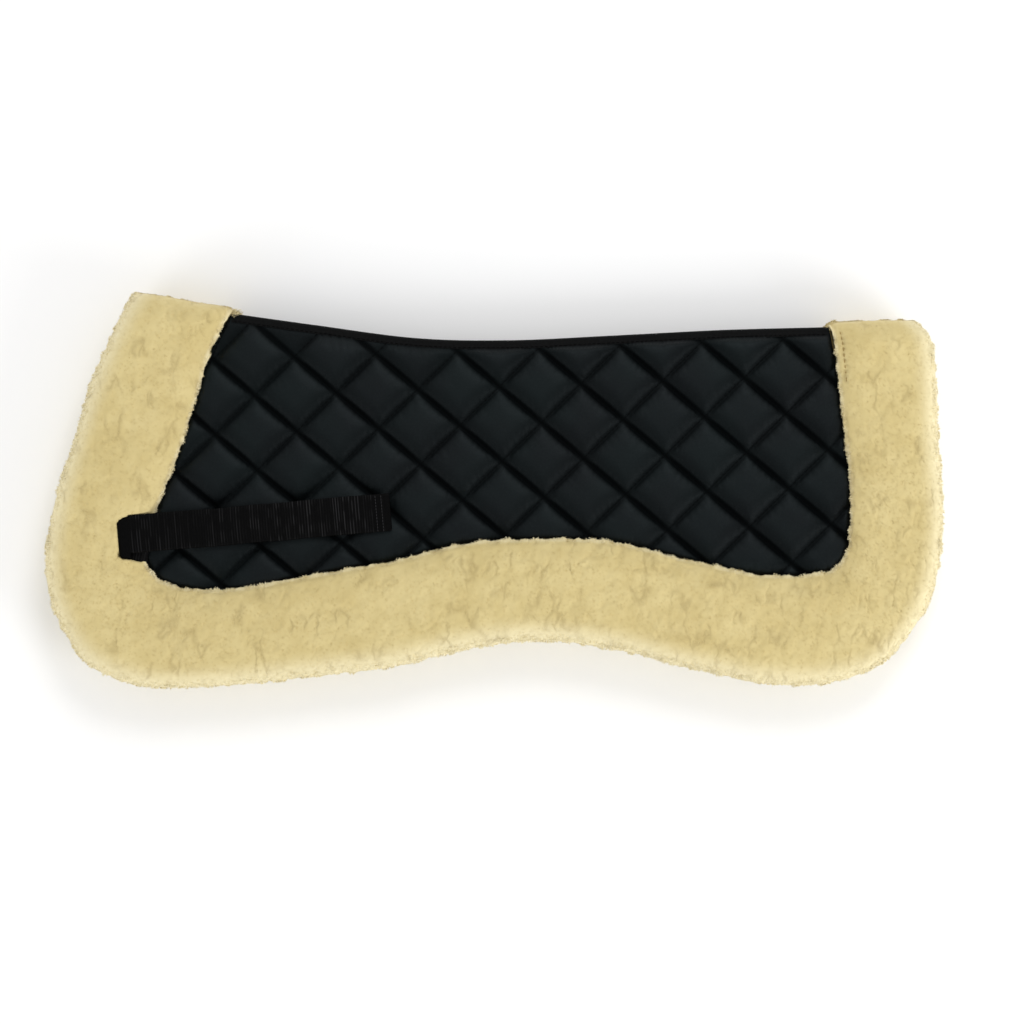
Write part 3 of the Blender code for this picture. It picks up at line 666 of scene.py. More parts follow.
def cotton_material():
    """Black quilted cotton with a fine plain weave, painted darker and duller in its channels,
    along its rim and tape, on the lower sides of its diamonds and in its flattened diamonds:
    painted shade.
    """
    n = Nodes("quilted_cotton")
    painted_crease_shade = n.value("painted_crease_shade")
    broad = n.ramp(n.noise(22.0, 3.0), 0.35, 0.65)
    fine = n.ramp(n.noise(900.0, 3.0), 0.45, 0.8, 0.0, 0.3)
    base = n.mix(broad, (0.0027, 0.0033, 0.0038), (0.0029, 0.0048, 0.0050))
    base = n.mix(fine, base, (0.009, 0.012, 0.0125))
    # Painted shade: near black where its painted shade value is high.
    base = n.mix(n.ramp(painted_crease_shade, 0.0, 1.0, 0.0, 0.85), base, (0.0006, 0.0008, 0.0009))
    soft = n.bump(n.noise(160.0, 3.0), 0.0007, 0.35)
    return n.finish(
        Base_Color=base,
        Roughness=0.48,
        # Less shine and sheen where the painted shade value is high.
        Specular_IOR_Level=n.ramp(painted_crease_shade, 0.0, 1.0, 0.135, 0.015),
        Specular_Tint=(0.80, 0.94, 1.0),
        Sheen_Weight=n.ramp(painted_crease_shade, 0.0, 0.6, 0.008, 0.0),
        Sheen_Roughness=0.4,
        Sheen_Tint=(0.75, 0.85, 0.95),
        Normal=n.bump(n.weave(560.0), 0.0001, 0.6, Normal=soft),
    )


def woven_material(name, colour, lighter, roughness, scale, sheen=0.0):
    """A woven black fabric: tape, webbing or closure, painted lighter where the thread value asks
    for painted highlights on its rib crests.
    """
    n = Nodes(name)
    # Painted highlights: the thread value lightens the colour on the rib crests.
    shine = n.ramp(n.value("thread"), 0.1, 1.0, 0.0, 0.9)
    base = n.mix(n.ramp(n.noise(700.0, 3.0), 0.4, 0.75), colour, lighter)
    return n.finish(
        Base_Color=n.mix(shine, base, (0.023, 0.023, 0.024)),
        Roughness=roughness,
        Specular_IOR_Level=0.05,
        Sheen_Weight=sheen,
        Sheen_Roughness=0.4,
        Normal=n.bump(n.weave(scale), 0.00012, 0.5),
    )


def thread_material(name, colour, shine=0.1):
    """Twisted sewing thread."""
    n = Nodes(name)
    twist = n.wave(900.0, "DIAGONAL")
    base = n.mix(n.ramp(twist, 0.2, 0.8, 0.0, 0.5), colour, tuple(c * 1.6 for c in colour))
    bump = n.bump(twist, 0.0001, 0.5)
    return n.finish(Base_Color=base, Roughness=0.6, Specular_IOR_Level=shine, Normal=bump)


def wadding_material():
    """White fibre wadding."""
    n = Nodes("wadding")
    fine = n.noise(300.0, 5.0)
    base = n.mix(fine, (0.70, 0.70, 0.67), (0.82, 0.82, 0.80))
    return n.finish(Base_Color=base, Roughness=0.95, Normal=n.bump(fine, 0.001, 0.8))


FLEECE = fleece_material()
PILE = pile_material()
COTTON = cotton_material()
TAPE_BLACK = ((0.0018, 0.0019, 0.0020), (0.0040, 0.0042, 0.0044))
TAPE = woven_material("binding_tape", *TAPE_BLACK, 0.6, 420.0)
STRAP_BLACK = ((0.0005, 0.0005, 0.0006), (0.0014, 0.0014, 0.0015))
STRAP = woven_material("webbing", *STRAP_BLACK, 0.55, 480.0)
LOOP_BLACK = ((0.004, 0.004, 0.0045), (0.012, 0.012, 0.013))
LOOPS = woven_material("loop_pile", *LOOP_BLACK, 0.9, 300.0, 0.1)
HOOK_BLACK = ((0.004, 0.004, 0.0045), (0.008, 0.008, 0.009))
HOOKS = woven_material("hook_tape", *HOOK_BLACK, 0.45, 600.0)
THREAD = thread_material("black_thread", (0.0014, 0.0015, 0.0016), 0.02)
HEM_THREAD = thread_material("hem_thread", (0.018, 0.018, 0.019))
CREAM_THREAD = thread_material("cream_thread", (0.30, 0.205, 0.075))
WADDING = wadding_material()


# Stitches and locks


def make_stitches(name, side, centres, directions, size, material, on="half", node=None):
    """A row of short stitches as one piece: each a rounded dash that dips at its ends."""
    length, width, height = size
    up = np.array((0, 0, side))
    sides = unit(np.cross(up, directions))
    turns = np.linspace(0, FULL_TURN, 7)[:-1]
    points = []
    for along, lift, thick in STITCH_STATIONS:
        for turn in turns:
            out = sides * (math.cos(turn) * thick * width / 2)
            rise = up * (math.sin(turn) * thick * height / 2 + lift * height / 2)
            points.append(centres + directions * (along * length) + out + rise)
    one = tube_faces(len(STITCH_STATIONS), len(turns))
    faces = (np.arange(len(centres))[:, None, None] * len(points) + one).reshape(-1, 3)
    made = make_mesh(side_name(side, name), np.stack(points, 1), faces, material)
    dress(made, side, on, node)


def make_locks(name, roots, up, lay, length, width, lift, rim, rng, side=0):
    """Many short bent locks of fleece, each a tapered ribbon of two pieces, kept in their half."""
    count = len(roots)
    out = unit(np.cross(up, lay) + rng.normal(0, 0.35, (count, 3)))
    length = length[:, None]
    bend = rng.normal(0, 0.35, (count, 1))
    rise = up * (0.42 + np.broadcast_to(lift, count))[:, None]
    middle = roots + (rise + lay * 0.25) * length + out * bend * length * 0.3
    tip = roots + (rise + lay * 0.80) * length + out * bend * length * 0.7
    half = out * width[:, None] / 2
    low = roots - up * 0.0004
    points = np.stack((low - half, low + half, middle + half * 0.8, middle - half * 0.8, tip), 1)
    points[..., 2] = np.maximum(points[..., 2], 0.0002)
    if side:
        points[..., 2] = MIDDLE + side * np.maximum(side * (points[..., 2] - MIDDLE), 0.0001)
    one = np.array(((0, 1, 2), (0, 2, 3), (3, 2, 4)))
    faces = (np.arange(count)[:, None, None] * 5 + one).reshape(-1, 3)
    piece = make_mesh(name, points, faces, PILE)
    set_values(piece, "shade", np.repeat(rng.uniform(0, 1, count), 5))
    # How far each lock is painted paler, as painted rim light.
    set_values(piece, "rim", np.repeat(rim, 5))
    dress(piece, side)
    return piece


def along_surface(lay, up):
    """Unit vectors along a surface, from rough ones and its normals."""
    return unit(lay - up * np.einsum("ij,ij->i", lay, up)[:, None])


# Fleece roll


def fleece_relief(points, seed):
    """How far fleece stands out at each point, and how much painted shade each point gets for lying
    in a crevice.
    """
    warp = np.stack([noise(points, 0.010, seed + k) for k in (11, 12, 13)], -1) * 0.0045
    near, second = cells(points * (1, 0.55, 0.7) + warp, 0.0095, seed)
    fold = np.clip(1 - (second - near) / 0.24, 0, 1) ** 2
    fold = fold * smooth(0.05, 0.6, noise(points, 0.011, seed + 3))
    relief = 0.00045 * (1 - near**2) - 0.0006 * fold
    for depth, size, number in ((0.00034, 0.0034, 7), (0.00030, 0.0085, 8), (0.00085, 0.038, 9)):
        relief += depth * noise(points, size, seed + number)
    # The folds between the locks give the painted crevice shade.
    return relief, 0.22 * fold


def strap_axes(turn=STRAP_TILT):
    """The plan directions along and across a strap that is turned so far."""
    along = np.array((math.cos(turn), math.sin(turn)))
    return along, np.array((-along[1], along[0]))


def strap_bed(plan):
    """From 0 to 1, how far each plan point lies under the strap: its flap, or its askew base."""
    out = plan - STRAP_PIVOT
    s, over = (out @ axis for axis in strap_axes())
    high, low = curve(s, BED_HIGH), curve(s, BED_LOW)
    flap = smooth(-0.0036, -0.0022, s) * smooth(0.040, 0.034, s)
    flap = flap * smooth(high + 0.0009, high - 0.0005, over)
    flap = flap * smooth(low - 0.0009, low + 0.0005, over)
    s, over = (out @ axis for axis in strap_axes(STRAP_TILT - BASE_TURN))
    base = smooth(-0.0004, 0.0010, s) * smooth(0.030, 0.026, s)
    off = np.abs(over + BASE_SHIFT)
    return np.maximum(flap, base * smooth(HALF_STRAP + 0.0008, HALF_STRAP - 0.0006, off))


def press_strap(plan, height):
    """Heights of the roll where the strap's base presses a bed into the fleece."""
    mask = strap_bed(plan)
    return height * (1 - mask) + np.minimum(height, BASE_HEIGHT - WEBBING / 2 - 0.0003) * mask


def roll_profile(width):
    """Distance in from the edge and height of each point of the roll's rings."""
    share, inset, tall, rise = np.array(ROLL_OUTLINE).T[:, :, None]
    rows = np.stack(np.broadcast_arrays(share * width + inset, tall * BORDER_HEIGHT + rise), -1)
    closed = np.concatenate((rows, rows[:1]))
    mean = closed.mean(axis=1)
    path = spline(np.concatenate((mean[:, None], closed), 1), 24)
    # The first column is the mean section, which sets the spacing of all the others
    steps = np.linalg.norm(np.diff(path[:, 0], axis=0), axis=1)
    middle = (path[1:, 0] + path[:-1, 0]) / 2
    dense = np.where(middle[:, 1] < 0.0025, 0.5, 1.0)
    dense = np.where((middle[:, 0] > mean[0, 0] - 0.004) & (middle[:, 1] < 0.011), 0.3, dense)
    cost = np.concatenate(([0], np.cumsum(steps * dense)))
    wanted = np.arange(ROLL_COLUMNS) / ROLL_COLUMNS * cost[-1]
    at = np.interp(wanted, cost, np.arange(len(cost)))
    low = np.minimum(at.astype(int), len(path) - 2)
    part = (at - low)[:, None, None]
    section = path[low, 1:] * (1 - part) + path[low + 1, 1:] * part
    return section[..., 0].T, section[..., 1].T


def swollen_plan(distances, outer, inwards, d, width):
    """The roll's plan points, which swell past the folded ends."""
    plan = outer[:, None] + inwards[:, None] * d[..., None]
    ends = ((0, distances, FRONT_SWELL), (-1, OUTER_LENGTH - distances, REAR_SWELL))
    for ring, from_end, swell in ends:
        out = np.array((-inwards[ring, 1], inwards[ring, 0]))
        out = out * np.sign(out[1])
        near = np.clip(1 - from_end / FOLD_ROUND, 0, 1) ** 1.3
        past = curve(d / width[:, None], swell) * near[:, None]
        plan = plan + past[..., None] * out
    return plan


def stitch_groove(distances, room, h, seed):
    """How deep the topstitching is sunk into the fleece: it shows at the rear end, then fades."""
    from_end = OUTER_LENGTH - distances
    sunk = smooth(0.062, 0.036, from_end) * smooth(0.003, 0.009, from_end)
    waver = line_noise(distances, 0.007, seed)
    off = room - TOPSTITCH_INSET - 0.0007 * waver[:, None]
    groove = np.exp(-((off / 0.0011) ** 2)) * smooth(0.008, 0.012, h) * sunk[:, None]
    return groove * (0.65 + 0.35 * np.sin(distances / TOPSTITCH_PITCH * FULL_TURN))[:, None]


def roll_relief(points, d, h, room, groove, seed):
    """The roll's relief, the painted shade of its crevices, and the teeth of its lip over the
    panel.
    """
    relief, crevice = fleece_relief(points, seed)
    inner = smooth(0.004, 0.0012, h)
    lip = smooth(0.0045, 0.001, room) * smooth(0.008, 0.011, h)
    ragged = np.maximum(smooth(0.009, 0.002, d), lip)
    curls = 0.00070 * noise(points, 0.0047, seed + 20) + 0.00030 * noise(points, 0.0022, seed + 21)
    teeth = noise(points, 0.0034, seed + 24)
    relief = relief + (curls - 0.00080) * ragged + (0.00075 * teeth + 0.00015) * lip
    relief = relief * (1 - 0.7 * inner) + 0.0002 * inner - 0.0014 * groove
    # The sunk topstitch groove adds painted shade to the crevice value.
    return relief, np.clip(crevice + 0.85 * groove, 0, 1), teeth


def roll_grid(side, seed):
    """The fleece roll of one half as a grid, with what its material and its locks need.

    In it, d is the distance in from the edge, h the height and room the distance to the seam.
    """
    distances = np.linspace(0, OUTER_LENGTH, ROLL_RINGS)
    outer, seam, share = border_rings(distances)
    width, inwards = border_widths(outer, seam)
    d, h = roll_profile(width)
    h = np.maximum(h * share[:, None], 0.0003)
    room = width[:, None] - d
    plan = swollen_plan(distances, outer, inwards, d, width)
    points = place(plan, h, side)
    groove = stitch_groove(distances, room, h, seed + 22)
    relief, crevice, teeth = roll_relief(points, d, h, room, groove, seed)
    points = points + grid_normals(points) * side * (relief[..., None] - 0.0004)
    height = press_strap(plan, side * (points[..., 2] - MIDDLE))
    points[..., 2] = MIDDLE + side * np.maximum(height, 0.00022)
    if side == RIGHT:
        points[..., 2] = np.maximum(points[..., 2], 0.0003)
    # Painted rim light: paler along the lip over the panel, in patches by its teeth, and along the
    # outer edge.
    pale = 0.75 * smooth(0.0032, 0.0008, room) * smooth(0.004, 0.009, h)
    pale = pale * (0.35 + 0.65 * smooth(-0.5, 0.5, teeth))
    rim = np.clip(smooth(0.021, 0.001, d) ** 1.2 + pale, 0, 1)
    normals = grid_normals(points) * side
    return SimpleNamespace(
        points=points, normals=normals, crevice=crevice, rim=rim, d=d, h=h, room=room
    )


def sample_grid(values, row, column):
    """Values of a grid of rings at broken row and column numbers."""
    rows, columns = values.shape[:2]
    r0 = np.clip(row.astype(int), 0, rows - 2)
    c0 = column.astype(int) % columns
    c1 = (c0 + 1) % columns
    fr, fc = row - r0, column - np.floor(column)
    if values.ndim == 3:
        fr, fc = fr[:, None], fc[:, None]
    low = values[r0, c0] * (1 - fc) + values[r0, c1] * fc
    high = values[r0 + 1, c0] * (1 - fc) + values[r0 + 1, c1] * fc
    return low * (1 - fr) + high * fr


def lock_places(roll, rng):
    """Where the roll's locks stand: thickest along its edges, and not under the strap."""
    row = rng.uniform(0, ROLL_RINGS - 1.001, LOCK_TRIES)
    column = rng.uniform(0, ROLL_COLUMNS, LOCK_TRIES)
    grids = (roll.d, roll.h, roll.crevice, roll.room, roll.points[..., :2])
    d, h, crevice, room, plan = (sample_grid(values, row, column) for values in grids)
    rims = np.maximum(smooth(0.008, 0.003, d), smooth(0.004, 0.001, room))
    share = np.where(h > 0.003, 0.25 + 0.75 * rims, 0.42)
    keep = (crevice < 0.5) & (rng.uniform(0, 1, LOCK_TRIES) < share)
    keep &= (room > 0.004) | (h < 0.003) | (h > 0.62 * BORDER_HEIGHT)
    keep &= strap_bed(plan + CENTRE) < 0.15
    return row[keep], column[keep], rims[keep]


def make_roll_locks(side, roll, seed):
    """The locks of one half's roll. They lie outwards, but inwards along the panel."""
    rng = np.random.default_rng(seed)
    row, column, rims = lock_places(roll, rng)
    count = len(row)
    grids = (roll.points, roll.normals, roll.d, roll.h, roll.rim)
    roots, up, d, h, rim = (sample_grid(values, row, column) for values in grids)
    up = unit(up)
    outer, seam, _ = border_rings(row / (ROLL_RINGS - 1) * OUTER_LENGTH)
    width, inwards = border_widths(outer, seam)
    inner = smooth(0.010, 0.002, width - d)
    lay = level(-inwards) * (0.8 - 1.25 * inner)[:, None] + rng.normal(0, 0.45, (count, 3))
    clump = smooth(-0.15, 0.5, noise(roots, 0.0047, seed + 20))
    length = rng.uniform(0.0011, 0.0019, count) * (1 + rims * (0.6 * clump - 0.30))
    length = length * (1 - 0.10 * inner)
    thick = rng.uniform(0.00026, 0.00052, count) * (1 + 0.6 * clump * rims)
    # Painted rim light for the locks: paler on the rims and along the inner edge.
    shine = np.clip(rim + 0.3 * inner, 0, 1)
    lift = np.where(h > 0.003, 0.32 * rims - 0.20, -0.22)
    name = side_name(side, "fleece_locks")
    make_locks(name, roots, up, along_surface(lay, up), length, thick, lift, shine, rng, side)


def make_topstitch(side, roll):
    """The stitches sunk into the fleece a little inside its edge, at the rear end."""
    line = []
    for r in range(3, ROLL_RINGS - 3):
        top = roll.h[r] > 0.010 * (0.6 if min(r, ROLL_RINGS - r) < 12 else 1.0)
        gap = np.where(top, np.abs(roll.room[r] - TOPSTITCH_INSET), 9)
        line.append(roll.points[r, int(gap.argmin())])
    line = np.array(line)
    for _ in range(6):
        line[1:-1] = (line[:-2] + 2 * line[1:-1] + line[2:]) / 4
    run = run_of(line)
    at = np.arange(0.004, run[-1] - 0.004, TOPSTITCH_PITCH)
    middle = resample(line, at, run)
    direction = unit(resample(line, at + 0.0012, run) - resample(line, at - 0.0012, run))
    middle[:, 2] += side * np.random.default_rng(7).uniform(-0.0002, 0.0003, len(middle))
    keep = run[-1] - at < 0.042
    size = (0.0030, 0.0007, 0.0006)
    make_stitches("fleece_topstitch", side, middle[keep], direction[keep], size, CREAM_THREAD)


def make_core(side):
    """The wadding strip inside the roll of one half, which stops short of the folded ends."""
    distances = np.linspace(0.016, OUTER_LENGTH - 0.016, 300)
    outer, seam, share = border_rings(distances)
    width, inwards = border_widths(outer, seam)
    turn = np.linspace(0, FULL_TURN, 33)[:-1]
    c, s = (np.sign(v) * np.abs(v) ** 0.6 for v in (np.cos(turn), np.sin(turn)))
    d = (width * 0.47)[:, None] + (width * 0.36)[:, None] * c
    h = (0.0096 + 0.0062 * s) * share[:, None]
    points = place(outer[:, None] + inwards[:, None] * d[..., None], h, side)
    wobble = noise(points, 0.009, 77) * 0.0004
    points = points + grid_normals(points) * wobble[..., None]
    core = make_tube(side_name(side, "roll_filling"), points, WADDING, side == RIGHT)
    dress(core, side, node="border_core")


def make_border(side):
    """The fleece roll of one half, with its locks, its topstitching and its core."""
    seed = 20 if side == LEFT else 60
    roll = roll_grid(side, seed)
    piece = make_tube(side_name(side, "fleece_roll"), roll.points, FLEECE, side == LEFT)
    # The fleece material paints shade from the crevice value and rim light from the rim value.
    set_values(piece, "crevice", roll.crevice)
    set_values(piece, "rim", roll.rim)
    dress(piece, side, node="fleece_border")
    make_roll_locks(side, roll, seed)
    make_topstitch(side, roll)
    make_core(side)


# Quilted panel


def panel_height(gap):
    """The cover's height without its puffs: it drops near the spine fold, under the tape."""
    return FOLD_HEIGHT + (CHANNEL_HEIGHT - FOLD_HEIGHT) * smooth(-0.002, PANEL_DROP, gap)


def quilt_lattice(loop, per):
    """Plan points of a lattice along the quilting inside a loop, and their places in diamonds."""
    steps = np.arange(-QUILT_REACH * per, QUILT_REACH * per + 1)
    i, j = (k.ravel() for k in np.meshgrid(steps, steps, indexing="ij"))
    plan = QUILT_CROSSING + (i[:, None] * QUILT_FALL + j[:, None] * QUILT_RISE) / per
    keep, room = well_inside(plan, loop, QUILT_SIDE / per * 0.55)
    return plan[keep], i[keep], j[keep], room


def quilt_crease_shade(u, v, room, spine_gap, flat):
    """How much painted shade each point gets from its place in its diamond: in a channel, on a
    lower side, along the rim, beside the tape, or in a flattened diamond.
    """
    down = smooth(0.075 + 0.050 * np.sin(math.pi * u), 0.028, np.minimum(v, 1 - v))
    up = smooth(0.060 + 0.045 * np.sin(math.pi * v), 0.020, np.minimum(u, 1 - u))
    # Painted shade on the lower sides of every diamond, where the light from above falls off.
    lower_side_shade = np.maximum(smooth(0.40, 0.05, v), smooth(0.60, 0.95, u))
    # Painted shade along the cover's rim next to the roll, and beside the tape.
    rim = smooth(0.0030, 0.0008, room)
    tape = smooth(TAPE_BAND + 0.003, TAPE_BAND, spine_gap)
    shades = (down, 0.64 * up, 0.46 * lower_side_shade, 0.6 * rim, 0.5 * tape, 0.35 * flat)
    return np.maximum.reduce(shades)


def quilt_mesh(loop, per):
    """The cover's points, the outline's first, and their puffs, pins, painted shade in creases and
    looseness.
    """
    plan, i, j, room = quilt_lattice(loop, per)
    u, v = (i % per) / per, (j % per) / per
    a, b = i // per, j // per
    puff = (1 - np.abs(2 * u - 1) ** 4) * (1 - np.abs(2 * v - 1) ** 4)
    puff = puff * (0.88 + 0.24 * grid_value(np.stack((a, b, 0 * a), -1), 3))
    # The diamonds that the tape cuts lie flatter along its front half
    middle = QUILT_CROSSING + (a + 0.5)[:, None] * QUILT_FALL + (b + 0.5)[:, None] * QUILT_RISE
    middle_gap = np.interp(middle[:, 0], SPINE_LINE[:, 0], SPINE_LINE[:, 1]) - middle[:, 1]
    flat = smooth(0.018, 0.008, middle_gap) * smooth(-0.03, -0.08, middle[:, 0])
    puff = puff * (1 - 0.6 * flat)
    spine_gap = spine_distance(plan)
    front = smooth(-0.075, -0.100, plan[:, 0])
    low, high = TAPE_BAND - 0.0005 + 0.001 * front, TAPE_BAND + 0.004 + 0.005 * front
    puff = puff * smooth(0.0, 0.0034, room) * smooth(low, high, spine_gap)
    pinned = (u == 0) | (v == 0) | (spine_gap < TAPE_BAND)
    painted_crease_shade = quilt_crease_shade(u, v, room, spine_gap, flat)
    points = np.concatenate((loop, plan))
    edge = np.ones(len(loop))
    # The outline's points get painted shade as well.
    return SimpleNamespace(
        plan=points,
        height=panel_height(spine_distance(points)),
        triangles=fill_loop(loop, plan),
        rim=len(loop),
        puff=np.concatenate((0 * edge, puff)),
        pinned=np.concatenate((edge > 0, pinned)),
        painted_crease_shade=np.concatenate((0.7 * edge, painted_crease_shade)),
        loose=np.concatenate((edge, 1 - 0.75 * flat)),
    )


def add_cloth(trial):
    """Cloth on the trial mesh: pinned along its channels, shrunk a little and blown up."""
    cloth = trial.modifiers.new("Cloth", "CLOTH")
    settings = cloth.settings
    settings.quality = 5
    settings.mass = 0.3
    settings.vertex_group_mass = "pin"
    settings.tension_stiffness = 15
    settings.compression_stiffness = 15
    settings.shear_stiffness = 5
    settings.bending_stiffness = 0.25
    settings.effector_weights.gravity = 0
    settings.use_pressure = True
    settings.uniform_pressure_force = 4.0
    settings.shrink_min = -0.012
    cloth.collision_settings.use_collision = False


def blow_up(quilt):
    """Moves the cover's points to where a cloth simulation that fills its diamonds takes them."""
    count = len(quilt.plan)
    rng = np.random.default_rng(5)
    start = quilt.height + PUFF_RISE * 0.72 * quilt.puff
    start = start + np.where(quilt.pinned, 0, rng.normal(0, 0.00008, count))
    points = np.column_stack((quilt.plan, start)) * CLOTH_SCALE
    trial = make_mesh("trial", points, quilt.triangles, COTTON)
    group = trial.vertex_groups.new(name="pin")
    group.add([int(k) for k in np.nonzero(quilt.pinned)[0]], 1.0, "REPLACE")
    add_cloth(trial)
    scene = bpy.context.scene
    for number in range(1, CLOTH_FRAMES + 1):
        scene.frame_set(number)
    found = trial.evaluated_get(bpy.context.evaluated_depsgraph_get())
    out = np.empty(count * 3, np.float32)
    found.data.vertices.foreach_get("co", out)
    out = out.reshape(-1, 3) / CLOTH_SCALE
    scene.frame_set(1)
    bpy.data.objects.remove(trial)
    most = PUFF_RISE + 0.0012
    share = np.clip((out[:, 2] - quilt.height) / most, 0, 1)
    quilt.plan = out[:, :2]
    quilt.height = quilt.height + 0.94 * most * (1 - (1 - share) ** 1.6) * quilt.loose


def make_panel(quilt):
    """The quilted cover of both halves, with a wall under its rim."""
    faces = slab_faces(quilt.triangles, quilt.rim, len(quilt.plan), False)
    # Painted shade: the wall under the rim is painted darker too.
    painted_crease_shade = np.concatenate((quilt.painted_crease_shade, np.full(quilt.rim, 0.8)))
    for side in (LEFT, RIGHT):
        low = place(quilt.plan[: quilt.rim], COVER_LOW, side)
        points = np.concatenate((place(quilt.plan, quilt.height, side), low))
        name = side_name(side, "quilted_top")
        cover = make_mesh(name, points, faces, COTTON, side == RIGHT)
        set_values(cover, "painted_crease_shade", painted_crease_shade)
        dress(cover, side, node="quilted_cover")


def make_wadding(quilt):
    """The filling of both halves: a softer copy of the cover, a little under it."""
    rim = panel_outline(0.0032, 0.0022, 0.006)
    inner = quilt_lattice(rim, 8)[0]
    points = np.concatenate((rim, inner))
    tree = KDTree(len(quilt.plan))
    for k, p in enumerate(quilt.plan):
        tree.insert((*p, 0), k)
    tree.balance()
    nearest = [tree.find((*p, 0))[1] for p in points]
    room = distance_to(points, rim, closed=True)
    top = quilt.height[nearest] - 0.0014 - 0.0034 * smooth(0.011, 0.003, room)
    faces = slab_faces(fill_loop(rim, inner), len(rim), len(points), True)
    for side in (LEFT, RIGHT):
        both = np.concatenate((place(points, top, side), place(points, FILLING_LOW, side)))
        filling = make_mesh(side_name(side, "filling"), both, faces, WADDING, side == RIGHT)
        dress(filling, side, node="wadding")


def make_quilt_stitches(side, loop):
    """The stitches along the quilting, sunk in its channels."""
    per = int(QUILT_SIDE / QUILT_PITCH)
    a = (np.arange(-QUILT_REACH * per, QUILT_REACH * per) + 0.5) / per
    b = np.arange(-QUILT_REACH, QUILT_REACH + 1)
    a, b = (k.reshape(-1, 1) for k in np.meshgrid(a, b, indexing="ij"))
    ways = ((QUILT_FALL, QUILT_RISE), (QUILT_RISE, QUILT_FALL))
    plan = np.concatenate([QUILT_CROSSING + a * step + b * other for step, other in ways])
    direction = np.concatenate([np.broadcast_to(unit(step), (len(a), 2)) for step, _ in ways])
    keep, _ = well_inside(plan, loop, 0.002)
    plan, direction = plan[keep], direction[keep]
    gap = spine_distance(plan)
    keep = gap > TAPE_BAND
    middle = place(plan[keep], panel_height(gap[keep]) - 0.00002, side)
    size = (0.0030, 0.0005, 0.0003)
    make_stitches("quilt_stitches", side, middle, level(direction[keep]), size, THREAD)


def make_seam_stitches(side):
    """The thread that sews the cover to the border, along the cover's rim."""
    line = panel_seam(0.0019, 0.001)[4:-4]
    run = run_of(line)
    at = np.arange(0.002, run[-1] - 0.002, SEAM_PITCH)
    plan = resample(line, at, run)
    ahead = level(unit(resample(line, at + 0.001, run) - resample(line, at - 0.001, run)))
    middle = place(plan, panel_height(spine_distance(plan)) + 0.00035, side)
    size = (0.0033, 0.0007, 0.0006)
    make_stitches("seam_stitches", side, middle, ahead, size, THREAD, node="seam_thread")


def make_lining(side):
    """The fleece on the horse's side of one half, which lies on the other half when folded."""
    loop = panel_outline(-0.0016, 0.0016, 0.0020)
    low, high = loop.min(0), loop.max(0)
    lines = (np.arange(low[k], high[k], LINING_STEP) for k in (0, 1))
    plan = np.stack(np.meshgrid(*lines), -1).reshape(-1, 2)
    rng = np.random.default_rng(31 + side)
    plan = plan + rng.uniform(-0.3, 0.3, plan.shape) * LINING_STEP
    plan = plan[well_inside(plan, loop, LINING_STEP * 0.7)[0]]
    points = np.concatenate((loop, plan))
    relief, crevice = fleece_relief(level(points), 90 + side)
    height = np.clip(0.0010 - 0.9 * relief, 0.0002, 0.0026)
    height[: len(loop)] = 0.0014
    faces = slab_faces(fill_loop(loop, plan), len(loop), len(points), True)
    both = np.concatenate((place(points, height, side), place(points, LINING_TOP, side)))
    lining = make_mesh(side_name(side, "lining_pile"), both, faces, FLEECE, side == LEFT)
    # Painted shade in the lining's crevices.
    set_values(lining, "crevice", np.concatenate((crevice, crevice)))
    dress(lining, side, node="fleece_lining")
    make_lining_locks(side, points, height, len(loop), rng)


def make_lining_locks(side, points, height, rim, rng):
    """Locks that lie on the lining's face in drifts, and keep clear of its rim."""
    picked = rng.integers(rim, len(points), LINING_LOCKS)
    plan = points[picked] + rng.uniform(-0.5, 0.5, (LINING_LOCKS, 2)) * LINING_STEP
    roots = place(plan, height[picked], side)
    up = np.broadcast_to((0, 0, -side), roots.shape)
    lay = rng.normal(0, 1, roots.shape) * (1, 1, 0)
    drift = np.stack([noise(roots, 0.013, 160 + k) for k in (0, 1, 2)], -1) * (4, 4, 0)
    lay = unit(lay + drift)
    length = rng.uniform(0.0014, 0.0024, LINING_LOCKS)
    thick = rng.uniform(0.00028, 0.00055, LINING_LOCKS)
    name = side_name(side, "lining_locks")
    make_locks(name, roots, up, lay, length, thick, -0.22, 0 * length, rng, side)


# Folds


def bend_with_spine(piece):
    """Bakes a piece's placement into its mesh points."""
    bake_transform(piece)


def wrap_path(at_front):
    """The line of a folded end in plan, from the pad's corner to the tape, and the way along it."""
    outer, seam, _ = border_rings(np.array((0.0 if at_front else OUTER_LENGTH,)))
    width, along = border_widths(outer, seam)
    width, along = width[0], along[0]
    stops = (0.0004, 0.2 * width, 0.5 * width, 0.75 * width, width - 0.008)
    spine = SPINE_LINE if at_front else SPINE_LINE[::-1]
    onwards = (0.0008, 0.0030, 0.0060) if at_front else (0.0006, 0.0024)
    route = np.concatenate(([outer[0] + along * stop for stop in stops], resample(spine, onwards)))
    return spline(route, 40), width, along


